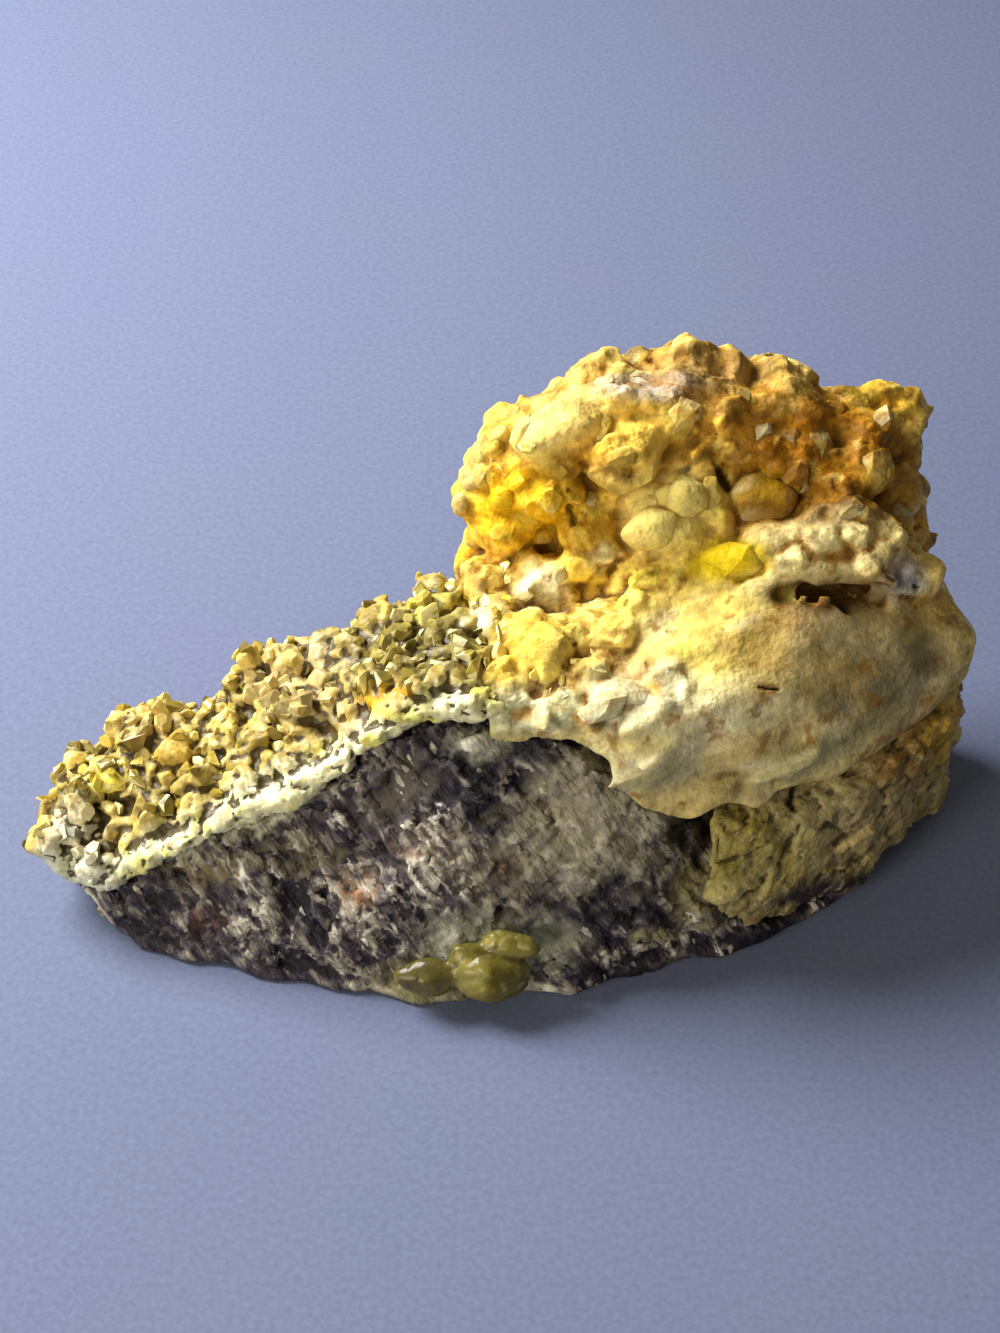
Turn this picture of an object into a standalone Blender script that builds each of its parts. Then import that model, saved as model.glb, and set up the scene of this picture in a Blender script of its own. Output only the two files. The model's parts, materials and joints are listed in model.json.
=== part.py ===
"""Pyromorphite specimen: a wedge of dark host rock with a crystal crust, a botryoidal
mass, a lower lobe and a cluster of small spheres at its foot.

Frame: +X along the specimen, +Y to the back, +Z up. The origin is on the resting
surface, below the middle of the specimen. Driving sizes are in millimetres.
"""

import math
import random

import bmesh
import bpy
from mathutils import Euler, Matrix, Vector
from mathutils.bvhtree import BVHTree

MM = 0.001
GAP = 0.3          # clear space between two pieces that touch
SEED = 21
REACH = 200.0      # beyond every piece

# ---------------------------------------------------------------- host rock
# One row for each slice across the rock, from the thin left tip to the right end:
# x, foot y and z, rim y and z (top of the broken front face), top y and z, heel y
ROCK_SLICES = [
    (-44.0, -15.0, 3.6, -15.4, 5.2, -9.0, 6.4, -6.5),
    (-39.0, -19.6, 0.0, -18.2, 4.8, -3.0, 7.4, -1.5),
    (-34.0, -22.4, -1.5, -17.2, 8.2, -0.5, 9.0, 3.0),
    (-26.0, -25.4, -1.5, -16.4, 12.5, 0.5, 11.0, 6.0),
    (-18.0, -27.6, -1.5, -14.6, 15.6, 2.0, 14.0, 9.0),
    (-11.5, -28.6, -1.5, -13.6, 22.0, 3.0, 18.0, 12.0),
    (-4.0, -29.0, -1.5, -14.4, 25.6, 4.0, 21.0, 16.0),
    (6.0, -27.8, -1.5, -15.8, 24.0, 8.0, 23.0, 20.0),
    (14.0, -25.8, -1.5, -18.4, 19.0, 9.0, 22.0, 22.0),
    (21.0, -23.6, -1.5, -18.4, 8.5, 9.0, 19.0, 22.5),
    (30.0, -18.8, -1.5, -16.8, 2.2, 9.0, 16.0, 21.0),
    (38.0, -12.8, -1.5, -11.4, 1.8, 9.0, 12.0, 17.5),
    (43.5, -4.4, -1.0, -3.2, 1.4, 7.0, 8.0, 11.0),
]
FRONT_BULGE = 1.2  # the front face swells this far ahead of a straight slope
TOP_BULGE = 0.6    # and the top this far above one
BACK_BULGE = 2.0   # and the back this far behind one
ROCK_VOXEL = 0.8
# kind, scale and height of each relief on a piece
ROCK_RELIEF = [("CLOUDS", 9.0, 2.4), ("VORONOI", 6.0, -1.6), ("CLOUDS", 3.0, 1.0)]
ROCK_TRIANGLES = 1800
# the dark opening in the rock, where the ledge, the rock and the lobe meet
FISSURE = [
    (15.0, -21.5, 12.4), (19.0, -21.5, 10.4), (23.0, -21.5, 12.0), (24.0, -21.5, 15.4),
    (16.0, -21.5, 15.0), (17.0, -14.5, 13.2), (21.0, -14.0, 12.4), (22.0, -14.0, 14.4),
    (17.4, -14.5, 14.4),
]

# ---------------------------------------------------------------- drusy crust
# x, lip y and z (lower edge of the pale broken rim), crest y and z, back y and z
DRUSY_SLICES = [
    (-45.6, -14.6, 6.0, -12.4, 7.4, -9.8, 7.2),
    (-44.4, -15.8, 4.8, -12.6, 8.4, -8.0, 8.2),
    (-42.0, -17.4, 4.4, -10.0, 9.6, -4.5, 9.0),
    (-38.4, -19.2, 4.6, -9.0, 10.6, -0.8, 9.8),
    (-34.0, -18.4, 8.0, -8.0, 12.4, 0.4, 11.4),
    (-30.0, -18.0, 10.0, -8.0, 13.6, -0.8, 12.2),
    (-26.0, -17.5, 12.3, -7.0, 15.6, -0.6, 13.6),
    (-22.0, -16.2, 14.2, -6.0, 17.6, 1.8, 15.5),
    (-18.0, -15.4, 15.5, -5.0, 19.5, 3.0, 17.6),
    (-14.0, -14.7, 19.4, -4.0, 22.3, 3.4, 20.0),
    (-9.4, -14.8, 23.8, -4.0, 25.4, 3.8, 22.7),
    (-5.0, -15.0, 25.6, -4.0, 27.0, 4.0, 24.4),
    (1.0, -15.6, 25.6, -4.0, 27.4, 5.0, 25.4),
]
# mounds of crystals standing above the slope: centre x y z and radii
DRUSY_MOUNDS = [
    ((-34.6, -3.4, 11.2), (4.2, 3.6, 2.6)),
    ((-36.6, -9.0, 11.4), (2.6, 2.4, 2.0)),
    ((-32.0, -7.6, 12.8), (2.8, 2.4, 2.0)),
    ((-22.0, 0.2, 15.8), (5.2, 3.4, 3.0)),
    ((-17.4, 0.6, 18.6), (2.6, 3.0, 2.6)),
    ((-18.4, -6.6, 18.6), (3.4, 3.0, 2.2)),
    ((-10.0, 1.4, 22.6), (3.4, 3.0, 3.0)),
    ((-11.4, -8.8, 24.0), (3.0, 2.2, 2.2)),
    ((-5.4, 3.2, 25.6), (3.0, 2.6, 2.8)),
]
LIP_HEIGHT = 2.3   # thickness of the pale broken rim
SKIRT = 7.0        # the crust hangs this far down the back of the rock
SKIRT_FOOT = 3.0   # but no lower than this
SKIRT_BULGE = 2.2  # and swells this far behind the slope's back edge
KEEL = 2.5         # depth of the crust's hidden side below its edges
BED_VOXEL = 0.8
BED_RELIEF = [("CLOUDS", 5.0, 1.6), ("CLOUDS", 2.0, 0.8)]
BED_TRIANGLES = 680

CRYSTAL_ROWS = 12
CRYSTAL_COLUMNS = 6
CRYSTAL_WIDTH = (2.4, 4.2)
CRYSTAL_LENGTH = (2.5, 3.5)
CRYSTAL_LEAN = 0.75
CRYSTAL_TAPER = 0.82
CRYSTAL_JITTER = (0.12, 0.88)  # where in its cell of the grid a crystal stands
SEAT_DEPTH = 1.9   # how deep a crystal's foot is rooted in the crust
RIM_MARGIN = 2.8   # the pale rim is free of crystals this far in
BACK_MARGIN = 1.4  # crystals stand this far beyond the back edge
END_MARGIN = 2.0   # and stop this far short of the two ends

# ---------------------------------------------------------------- botryoidal mass
# centre x y z and radii of the shapes under the lumps of the hump
HUMP_LOBES = [
    ((4.8, 12.4, 33.6), (9.0, 7.8, 9.0)),
    ((11.5, 13.4, 36.2), (9.8, 8.0, 9.8)),
    ((18.0, 13.6, 36.8), (9.4, 8.0, 9.4)),
    ((26.0, 13.2, 35.4), (8.4, 8.2, 8.7)),
    ((33.0, 13.0, 33.5), (7.0, 7.2, 8.0)),
    ((38.0, 12.0, 29.0), (4.6, 5.2, 5.8)),
    ((36.5, 8.5, 26.5), (5.8, 4.8, 5.0)),
    ((8.0, 8.5, 25.5), (11.5, 7.0, 6.5)),
    ((27.0, 8.0, 26.0), (16.5, 9.4, 8.8)),
]
# separate lumps standing out of the hump and of the saddle in front of it
LUMPS = [
    ((20.2, 6.4, 34.6), 4.0), ((25.6, 7.2, 34.2), 3.6), ((15.2, 4.6, 33.0), 3.0),
    ((30.6, 7.4, 36.4), 3.4), ((35.0, 8.2, 37.4), 3.0), ((11.4, 6.6, 40.0), 3.6),
    ((6.0, 9.6, 40.6), 4.2), ((5.0, 5.8, 36.0), 3.2), ((-2.0, 9.0, 33.4), 3.2), ((1.0, 6.2, 31.4), 3.0),
    ((8.6, 4.4, 31.6), 3.0), ((38.4, 9.6, 33.6), 3.2), ((39.6, 9.0, 29.4), 3.0),
    ((9.0, 3.6, 27.6), 3.6), ((3.8, 1.4, 27.4), 3.2), ((14.2, 0.6, 28.8), 3.4),
    ((10.4, -4.8, 27.0), 3.8), ((4.2, -6.6, 26.6), 3.9), ((-0.2, -2.6, 26.6), 3.0),
    ((0.4, -10.8, 26.0), 3.0), ((14.6, -4.2, 28.4), 3.4), ((9.6, -10.6, 25.6), 3.6),
    ((5.0, -13.4, 25.0), 2.8), ((-1.0, 2.2, 27.4), 2.6),
]
SADDLE = [
    (-1.6, -16.4, 24.0), (12.0, -17.6, 23.0), (13.0, 6.0, 28.0), (-3.4, 6.0, 26.0),
    (-3.0, 8.0, 20.0), (14.0, 8.0, 20.0), (-1.4, -15.4, 26.0), (12.0, -15.0, 26.4),
    (12.0, -14.0, 19.0),
]
# the square-cornered block at the far right of the hump
HUMP_BLOCK = [
    (31.0, 10.0, 30.0), (40.5, 10.5, 30.0), (41.4, 15.5, 30.0), (31.0, 18.0, 30.0),
    (31.6, 9.6, 38.5), (40.8, 11.0, 38.4), (41.6, 15.5, 42.6), (32.0, 15.5, 43.2),
    (41.8, 18.0, 37.0),
]
LUMP_PITCH = 4.6   # spacing of the small botryoids over the hump
LUMP_RELIEF = 2.6  # their height
LUMP_FLATNESS = 0.9
HUMP_VOXEL = 0.7
LEDGE_VOXEL = 0.6
LEDGE_RELIEF = [("CLOUDS", 7.0, 1.4)]
MASS_VOXEL = 0.55
MASS_RELIEF = [("CLOUDS", 3.0, 1.0)]
LEDGE = [
    (9.2, -17.0, 24.5), (11.0, -17.8, 27.0), (14.0, 0.0, 30.6), (19.6, 2.5, 32.8),
    (29.5, 4.0, 35.0), (36.5, 4.6, 33.6), (43.4, 3.8, 28.4), (47.4, -0.6, 23.4),
    (46.6, -4.0, 19.4), (36.4, -12.4, 17.4), (26.0, -17.4, 15.6), (18.8, -19.8, 15.8),
    (12.2, -20.2, 19.2), (9.8, -19.0, 22.0), (27.0, -12.8, 27.8), (18.0, -14.0, 28.0),
    (36.0, -6.8, 26.6), (12.0, 8.0, 20.0), (44.0, 9.0, 20.0), (30.0, 10.0, 20.0),
    (44.6, 8.0, 15.0), (28.0, 6.0, 13.0),
]
# a thin second layer below the lip of the ledge
LEDGE_LAYER = [
    (12.8, -20.4, 17.4), (18.4, -20.2, 14.6), (26.4, -17.4, 14.2), (25.0, -14.0, 14.6),
    (13.4, -17.0, 20.4), (26.2, -16.8, 17.6), (13.4, -19.4, 20.0), (18.0, -12.0, 15.6),
]
# the knobby strip along the top of the ledge, from left to right
STRIP_KNOBS = [
    ((25.4, 0.8, 33.4), (3.0, 2.8, 2.6)),
    ((28.6, 1.8, 34.2), (3.0, 3.4, 2.6)),
    ((32.6, 2.6, 34.6), (3.4, 3.6, 2.6)),
    ((36.4, 1.6, 33.2), (3.0, 3.6, 2.6)),
    ((30.0, -2.0, 32.4), (3.0, 2.2, 2.0)),
    ((34.6, -1.6, 32.0), (3.6, 2.4, 2.0)),
    ((38.0, -0.4, 30.8), (2.4, 2.4, 2.0)),
    ((41.4, 2.0, 29.0), (2.8, 2.8, 2.2)),
]
# the pale leaf standing up at the left end of the strip
LEAF = [
    (14.6, -1.6, 30.4), (17.2, 1.4, 33.4), (22.6, 3.4, 34.8), (24.6, 0.0, 33.6),
    (19.0, -4.4, 31.0), (15.4, -4.6, 29.4), (18.0, -2.0, 27.0), (24.0, 0.0, 28.0),
]
# the deep slot below the strip
CREVICE = [
    (27.4, -5.6, 31.6), (39.0, -5.4, 29.2), (38.4, -2.6, 26.6), (28.4, -2.0, 28.6),
    (27.6, -4.6, 30.0), (38.8, -5.6, 27.4), (30.0, 1.0, 28.4), (37.0, 0.6, 27.2),
    (30.0, 0.6, 29.8), (37.0, 0.6, 28.8),
]
MASS_TRIANGLES = 2650

# ---------------------------------------------------------------- lower lobe
LOBE = [
    (18.6, -23.0, 3.6), (28.0, -19.6, 1.8), (36.0, -14.2, 1.2), (42.0, -8.4, 1.0),
    (46.0, -2.4, 3.5), (47.0, 2.0, 9.0), (46.6, 1.6, 17.0), (45.6, -3.5, 17.0),
    (36.0, -13.2, 13.6), (27.0, -18.0, 12.6), (19.6, -20.8, 12.4), (44.0, 9.0, 2.0),
    (44.0, 10.0, 19.0), (24.0, -8.0, 19.0), (24.0, -8.0, 2.0), (44.6, -5.0, 2.2),
    (24.0, -22.2, 6.0), (32.0, -17.2, 7.0), (40.0, -11.0, 7.0),
]
LOBE_VOXEL = 0.7
LOBE_RELIEF = [("CLOUDS", 7.0, 2.0), ("VORONOI", 5.0, -1.6), ("CLOUDS", 2.5, 0.8)]
LOBE_TRIANGLES = 520

# ---------------------------------------------------------------- foot spheres
FOOT_LOBES = [
    ((-1.0, -27.0, 3.0), (3.6, 2.6, 2.6)),
    ((-6.8, -26.6, 2.9), (3.3, 2.3, 2.5)),
    ((2.2, -25.6, 6.2), (4.0, 2.0, 2.6)),
    ((-3.6, -25.6, 5.6), (2.4, 1.8, 1.9)),
]
FOOT_VOXEL = 0.5
FOOT_RELIEF = [("CLOUDS", 3.0, 0.4)]
FOOT_TRIANGLES = 400


def clear_scene():
    for obj in list(bpy.data.objects):
        bpy.data.objects.remove(obj)


def link(name, mesh):
    obj = bpy.data.objects.new(name, mesh)
    bpy.context.scene.collection.objects.link(obj)
    return obj


def baked(obj):
    """The object's mesh with its modifiers applied; the object itself is removed."""
    graph = bpy.context.evaluated_depsgraph_get()
    mesh = bpy.data.meshes.new_from_object(obj.evaluated_get(graph))
    bpy.data.objects.remove(obj)
    return mesh


def add_ellipsoid(bm, centre, radii):
    place = Matrix.Translation(Vector(centre) * MM) @ Matrix.Diagonal((*(r * MM for r in radii), 1))
    bmesh.ops.create_icosphere(bm, subdivisions=3, radius=1.0, matrix=place)


def add_hull(bm, points):
    verts = [bm.verts.new(Vector(p) * MM) for p in points]
    made = bmesh.ops.convex_hull(bm, input=verts)
    loose = {v for v in made["geom_interior"] + made["geom_unused"] if isinstance(v, bmesh.types.BMVert)}
    bmesh.ops.delete(bm, geom=list(loose), context="VERTS")


def add_loft(bm, rings):
    """A closed skin through rings of as many points each, with flat ends."""
    loops = [[bm.verts.new(Vector(p) * MM) for p in ring] for ring in rings]
    count = len(loops[0])
    for near, far in zip(loops, loops[1:]):
        for i in range(count):
            j = (i + 1) % count
            bm.faces.new((near[i], near[j], far[j], far[i]))
    bm.faces.new(list(reversed(loops[0])))
    bm.faces.new(loops[-1])
    bmesh.ops.recalc_face_normals(bm, faces=bm.faces)


def new_mesh(fill):
    bm = bmesh.new()
    fill(bm)
    mesh = bpy.data.meshes.new("shape")
    bm.to_mesh(mesh)
    bm.free()
    return mesh


def relief_texture(kind, size):
    texture = bpy.data.textures.new("relief", kind)
    texture.noise_scale = size * MM
    return texture


def fused(mesh, voxel, smooth, relief):
    """Overlapping shapes fused into one skin, softened, then given relief.

    Each relief is the kind of texture, its scale and its height."""
    obj = link("fusing", mesh)
    remesh = obj.modifiers.new("fuse", "REMESH")
    remesh.mode = "VOXEL"
    remesh.voxel_size = voxel * MM
    soften = obj.modifiers.new("soften", "SMOOTH")
    soften.iterations = smooth
    for kind, size, height in relief:
        raise_skin = obj.modifiers.new("relief", "DISPLACE")
        raise_skin.texture = relief_texture(kind, size)
        raise_skin.texture_coords = "GLOBAL"
        raise_skin.mid_level = 0.5
        raise_skin.strength = height * MM
    return baked(obj)


def thinned(mesh, triangles):
    obj = link("thinning", mesh)
    decimate = obj.modifiers.new("thin", "DECIMATE")
    decimate.ratio = triangles / (2 * len(mesh.polygons))
    decimate.use_collapse_triangulate = True
    return baked(obj)


def joined(meshes):
    def fill(bm):
        for mesh in meshes:
            bm.from_mesh(mesh)

    return new_mesh(fill)


def with_boolean(mesh, other, operation):
    obj = link("base", mesh)
    tool = link("tool", other)
    tool.hide_render = True
    tool.display_type = "WIRE"
    boolean = obj.modifiers.new(operation.lower(), "BOOLEAN")
    boolean.operation = operation
    boolean.object = tool
    boolean.use_self = True
    result = baked(obj)
    bpy.data.objects.remove(tool)
    return largest_body(result)


def grown(mesh):
    """The same skin, moved out by the gap between pieces."""
    obj = link("growing", mesh.copy())
    grow = obj.modifiers.new("grow", "DISPLACE")
    grow.mid_level = 0.0
    grow.strength = GAP * MM
    return baked(obj)


def largest_body(mesh):
    """Triangulated, without the crumbs that a cut left loose or hanging by one edge."""
    bm = bmesh.new()
    bm.from_mesh(mesh)
    bmesh.ops.triangulate(bm, faces=bm.faces)
    left, bodies = set(bm.faces), []
    while left:
        body, edge = set(), [left.pop()]
        while edge:
            face = edge.pop()
            body.add(face)
            near = {f for e in face.edges if len(e.link_faces) == 2 for f in e.link_faces} & left
            left -= near
            edge.extend(near)
        bodies.append(body)
    keep = max(bodies, key=len)
    bmesh.ops.delete(bm, geom=[f for f in bm.faces if f not in keep], context="FACES")
    bm.to_mesh(mesh)
    bm.free()
    return mesh


def rock_ring(row):
    x, foot_y, foot_z, rim_y, rim_z, top_y, top_z, heel_y = row
    return [
        (x, foot_y, foot_z),
        (x, (foot_y + rim_y) / 2 - FRONT_BULGE, (foot_z + rim_z) / 2),
        (x, rim_y, rim_z),
        (x, (rim_y + top_y) / 2, (rim_z + top_z) / 2 + TOP_BULGE),
        (x, top_y, top_z),
        (x, (top_y + heel_y) / 2 + BACK_BULGE, (top_z + foot_z) / 2),
        (x, heel_y, foot_z),
    ]


def host_rock():
    mesh = new_mesh(lambda bm: add_loft(bm, [rock_ring(row) for row in ROCK_SLICES]))
    mesh = thinned(fused(mesh, ROCK_VOXEL, 2, ROCK_RELIEF), ROCK_TRIANGLES)
    mesh = with_boolean(mesh, new_mesh(lambda bm: add_hull(bm, FISSURE)), "DIFFERENCE")
    size = REACH * MM
    below = new_mesh(lambda bm: bmesh.ops.create_cube(
        bm, size=size, matrix=Matrix.Translation((0, 0, -size / 2))))
    return with_boolean(mesh, below, "DIFFERENCE")


def drusy_ring(row):
    x, lip_y, lip_z, crest_y, crest_z, back_y, back_z = row
    return [
        (x, lip_y, lip_z),
        (x, lip_y, lip_z + LIP_HEIGHT),
        (x, crest_y, crest_z),
        (x, back_y, back_z),
        (x, back_y + SKIRT_BULGE, back_z - SKIRT / 2),
        (x, back_y + SKIRT_BULGE / 2, max(back_z - SKIRT, SKIRT_FOOT)),
        (x, (lip_y + back_y) / 2, min(lip_z, back_z) - KEEL),
    ]


def add_crystal(bm, seat, axis, width, length):
    """A stubby six-sided crystal with a flat top, rooted at its seat."""
    turn = axis.to_track_quat("Z", "Y").to_matrix().to_4x4()
    rings = []
    for height, share in ((0.0, 1.0), (1.0, CRYSTAL_TAPER)):
        ring = []
        for k in range(6):
            angle = k * math.tau / 6
            corner = Vector((math.cos(angle) * share * width / 2, math.sin(angle) * share * width / 2,
                             height * length - SEAT_DEPTH))
            ring.append(bm.verts.new(Matrix.Translation(seat) @ turn @ (corner * MM)))
        rings.append(ring)
    for i in range(6):
        j = (i + 1) % 6
        bm.faces.new((rings[0][i], rings[0][j], rings[1][j], rings[1][i]))
    bm.faces.new(list(reversed(rings[0])))
    bm.faces.new(rings[1])


def crystals_on(bed):
    """Crystals in a jittered grid over the slope, standing about square to it."""
    chance = random.Random(SEED)
    tree = BVHTree.FromPolygons([v.co for v in bed.vertices], [p.vertices for p in bed.polygons])
    first, last = DRUSY_SLICES[0][0] + END_MARGIN, DRUSY_SLICES[-1][0] - END_MARGIN

    def fill(bm):
        for row in range(CRYSTAL_ROWS):
            for column in range(CRYSTAL_COLUMNS):
                x = first + (last - first) * (row + chance.uniform(*CRYSTAL_JITTER)) / CRYSTAL_ROWS
                near = min(DRUSY_SLICES, key=lambda s: abs(s[0] - x))
                start, end = near[1] + RIM_MARGIN, near[5] + BACK_MARGIN
                y = start + (end - start) * (column + chance.uniform(*CRYSTAL_JITTER)) / CRYSTAL_COLUMNS
                hit, normal, _, _ = tree.ray_cast(Vector((x, y, REACH)) * MM, Vector((0, 0, -1)))
                if hit is None:
                    continue
                lean = Euler([chance.uniform(-CRYSTAL_LEAN, CRYSTAL_LEAN) for _ in range(3)]).to_matrix()
                add_crystal(bm, hit, lean @ normal, chance.uniform(*CRYSTAL_WIDTH),
                            chance.uniform(*CRYSTAL_LENGTH))
        bmesh.ops.recalc_face_normals(bm, faces=bm.faces)

    return new_mesh(fill)


def drusy_crust(rock, mass):
    def fill(bm):
        for centre, radii in DRUSY_MOUNDS:
            add_ellipsoid(bm, centre, radii)

    slope = new_mesh(lambda bm: add_loft(bm, [drusy_ring(row) for row in DRUSY_SLICES]))
    bed = joined([slope, new_mesh(fill)])
    bed = thinned(fused(bed, BED_VOXEL, 1, BED_RELIEF), BED_TRIANGLES)
    crust = with_boolean(bed, crystals_on(bed), "UNION")
    crust = with_boolean(crust, grown(rock), "DIFFERENCE")
    return with_boolean(crust, grown(mass), "DIFFERENCE")


def hump():
    def fill(bm):
        for centre, radii in HUMP_LOBES:
            add_ellipsoid(bm, centre, radii)

    core = fused(new_mesh(fill), HUMP_VOXEL, 2, [("VORONOI", LUMP_PITCH, -LUMP_RELIEF)])

    def fill_lumps(bm):
        for centre, radius in LUMPS:
            add_ellipsoid(bm, centre, (radius, radius, radius * LUMP_FLATNESS))
        add_hull(bm, HUMP_BLOCK)
        add_hull(bm, SADDLE)

    return joined([core, new_mesh(fill_lumps)])


def ledge():
    def fill(bm):
        add_hull(bm, LEDGE)
        add_hull(bm, LEDGE_LAYER)
        add_hull(bm, LEAF)
        for centre, radii in STRIP_KNOBS:
            add_ellipsoid(bm, centre, radii)

    return fused(new_mesh(fill), LEDGE_VOXEL, 1, LEDGE_RELIEF)


def botryoidal_mass(rock):
    mesh = thinned(fused(joined([hump(), ledge()]), MASS_VOXEL, 1, MASS_RELIEF), MASS_TRIANGLES)
    mesh = with_boolean(mesh, new_mesh(lambda bm: add_hull(bm, CREVICE)), "DIFFERENCE")
    return with_boolean(mesh, grown(rock), "DIFFERENCE")


def lower_lobe(rock, mass):
    mesh = fused(new_mesh(lambda bm: add_hull(bm, LOBE)), LOBE_VOXEL, 1, LOBE_RELIEF)
    mesh = with_boolean(thinned(mesh, LOBE_TRIANGLES), grown(rock), "DIFFERENCE")
    return with_boolean(mesh, grown(mass), "DIFFERENCE")


def foot_spheres(rock):
    def fill(bm):
        for centre, radii in FOOT_LOBES:
            add_ellipsoid(bm, centre, radii)

    mesh = thinned(fused(new_mesh(fill), FOOT_VOXEL, 1, FOOT_RELIEF), FOOT_TRIANGLES)
    return with_boolean(mesh, grown(rock), "DIFFERENCE")


def material(name, colour, roughness):
    made = bpy.data.materials.new(name)
    made.use_nodes = True
    shader = made.node_tree.nodes["Principled BSDF"]
    shader.inputs["Base Color"].default_value = (*colour, 1.0)
    shader.inputs["Roughness"].default_value = roughness
    return made


def node(name, mesh, colour, roughness):
    mesh.name = name
    mesh.materials.clear()
    mesh.materials.append(material(name, colour, roughness))
    link(name, mesh)


def centred(meshes):
    """All the pieces moved together, so the origin is below their middle."""
    corners = [v.co for mesh in meshes for v in mesh.vertices]
    low = Vector([min(c[k] for c in corners) for k in range(3)])
    high = Vector([max(c[k] for c in corners) for k in range(3)])
    shift = Matrix.Translation((-(low.x + high.x) / 2, -(low.y + high.y) / 2, -low.z))
    for mesh in meshes:
        mesh.transform(shift)


clear_scene()
rock_mesh = host_rock()
mass_mesh = botryoidal_mass(rock_mesh)
crust_mesh = drusy_crust(rock_mesh, mass_mesh)
lobe_mesh = lower_lobe(rock_mesh, mass_mesh)
foot_mesh = foot_spheres(rock_mesh)
centred([rock_mesh, mass_mesh, crust_mesh, lobe_mesh, foot_mesh])
node("host_rock", rock_mesh, (0.1, 0.09, 0.09), 0.8)
node("botryoidal_mass", mass_mesh, (0.72, 0.55, 0.2), 0.4)
node("drusy_crust", crust_mesh, (0.52, 0.42, 0.13), 0.45)
node("lower_lobe", lobe_mesh, (0.45, 0.38, 0.16), 0.6)
node("foot_spheres", foot_mesh, (0.38, 0.38, 0.1), 0.4)
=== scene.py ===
"""Pyromorphite specimen, dressed: a wedge of dark host rock, a crust of stubby crystals on its
slope, an amber botryoidal growth with a pale ledge, a lower lobe and beads at the foot."""
import json
import math
import random
import sys

import bmesh
import bpy
import numpy as np
from mathutils import Matrix, Vector
from mathutils.bvhtree import BVHTree

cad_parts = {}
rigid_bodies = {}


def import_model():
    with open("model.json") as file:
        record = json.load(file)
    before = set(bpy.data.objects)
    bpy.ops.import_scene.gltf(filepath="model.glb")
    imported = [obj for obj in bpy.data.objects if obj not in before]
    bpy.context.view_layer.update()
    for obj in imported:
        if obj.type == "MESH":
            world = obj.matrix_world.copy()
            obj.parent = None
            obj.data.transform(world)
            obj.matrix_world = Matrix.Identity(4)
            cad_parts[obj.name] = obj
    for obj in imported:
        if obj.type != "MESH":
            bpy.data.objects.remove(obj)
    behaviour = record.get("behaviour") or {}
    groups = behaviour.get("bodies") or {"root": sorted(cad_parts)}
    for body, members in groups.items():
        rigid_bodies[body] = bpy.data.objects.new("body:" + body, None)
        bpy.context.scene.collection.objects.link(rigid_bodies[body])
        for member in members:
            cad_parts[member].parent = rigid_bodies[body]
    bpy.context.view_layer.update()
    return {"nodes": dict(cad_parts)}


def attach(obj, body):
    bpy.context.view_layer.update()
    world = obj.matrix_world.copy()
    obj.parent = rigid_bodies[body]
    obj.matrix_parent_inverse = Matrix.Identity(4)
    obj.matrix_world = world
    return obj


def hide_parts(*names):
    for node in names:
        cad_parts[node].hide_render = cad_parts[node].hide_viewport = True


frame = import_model()
MM = 0.001

# ---------------------------------------------------------------- camera
# A camera in front of the specimen, looking down at it by 45 degrees from 24 cm away. Its frame
# is 1000 wide and 1333 high, and marks on the specimen are placed by where they lie in it.

FRAME_WIDE, FRAME_HIGH = 1000, 1333
SENSOR_MM, LENS_MM = 36.0, 64.8
TILT = math.radians(45)
SLOPE = math.sqrt(0.5)  # the sine and the cosine of the tilt
UNIT_MM, UNITS_PER_MM = 0.1, 10  # what a frame unit measures on the specimen

camera_lens = bpy.data.cameras.new("camera")
camera_lens.sensor_width = SENSOR_MM
camera_lens.lens = LENS_MM
camera_lens.clip_start = 0.01
camera = bpy.data.objects.new("camera", camera_lens)
camera.location = (-0.00058, -0.16608, 0.18771)
camera.rotation_euler = (TILT, 0.0, 0.0)
bpy.context.scene.collection.objects.link(camera)
bpy.context.scene.camera = camera


def line_through(across, down):
    """The direction from the camera through a place in its frame."""
    reach = SENSOR_MM / LENS_MM / FRAME_HIGH
    ahead = Vector(((across - FRAME_WIDE / 2) * reach, (FRAME_HIGH / 2 - down) * reach, -1))
    return Matrix.Rotation(TILT, 3, "X") @ ahead


def skin_tree_of(obj):
    """The object's skin as it is now, to look for places on it."""
    bm = bmesh.new()
    bm.from_mesh(obj.data)
    found = BVHTree.FromBMesh(bm)
    bm.free()
    return found


def seen(skin, across, down):
    """Where the line through a place in the frame first meets a skin, and its normal there."""
    place, normal, _, _ = skin.ray_cast(camera.location, line_through(across, down))
    if place is None:
        sys.exit(f"nothing is seen at {across}, {down}")
    return place, normal


def leaned(points):
    """Places turned to the camera's own axes: across, up and towards it."""
    x, y, z = np.array(points).reshape(-1, 3).T
    return np.stack([x, (y + z) * SLOPE, (z - y) * SLOPE], axis=1)


# ---------------------------------------------------------------- host rock
# The wedge that carries everything: a dark, fine-grained metal-stained rock, broken by a
# hammer, so its front is a rough fracture with flecks of quartz and ochre. It lies on its base.


def closed_copy(node, voxel_mm, rounds):
    """The node's skin welded, remade in even cells and softened by that many rounds."""
    mesh = frame["nodes"][node].data.copy()
    mesh.materials.clear()
    bm = bmesh.new()
    bm.from_mesh(mesh)
    bmesh.ops.remove_doubles(bm, verts=bm.verts, dist=1e-6)
    bm.to_mesh(mesh)
    bm.free()
    obj = bpy.data.objects.new(node + "_skin", mesh)
    bpy.context.scene.collection.objects.link(obj)
    remade(obj, voxel_mm, rounds)
    return obj


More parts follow.
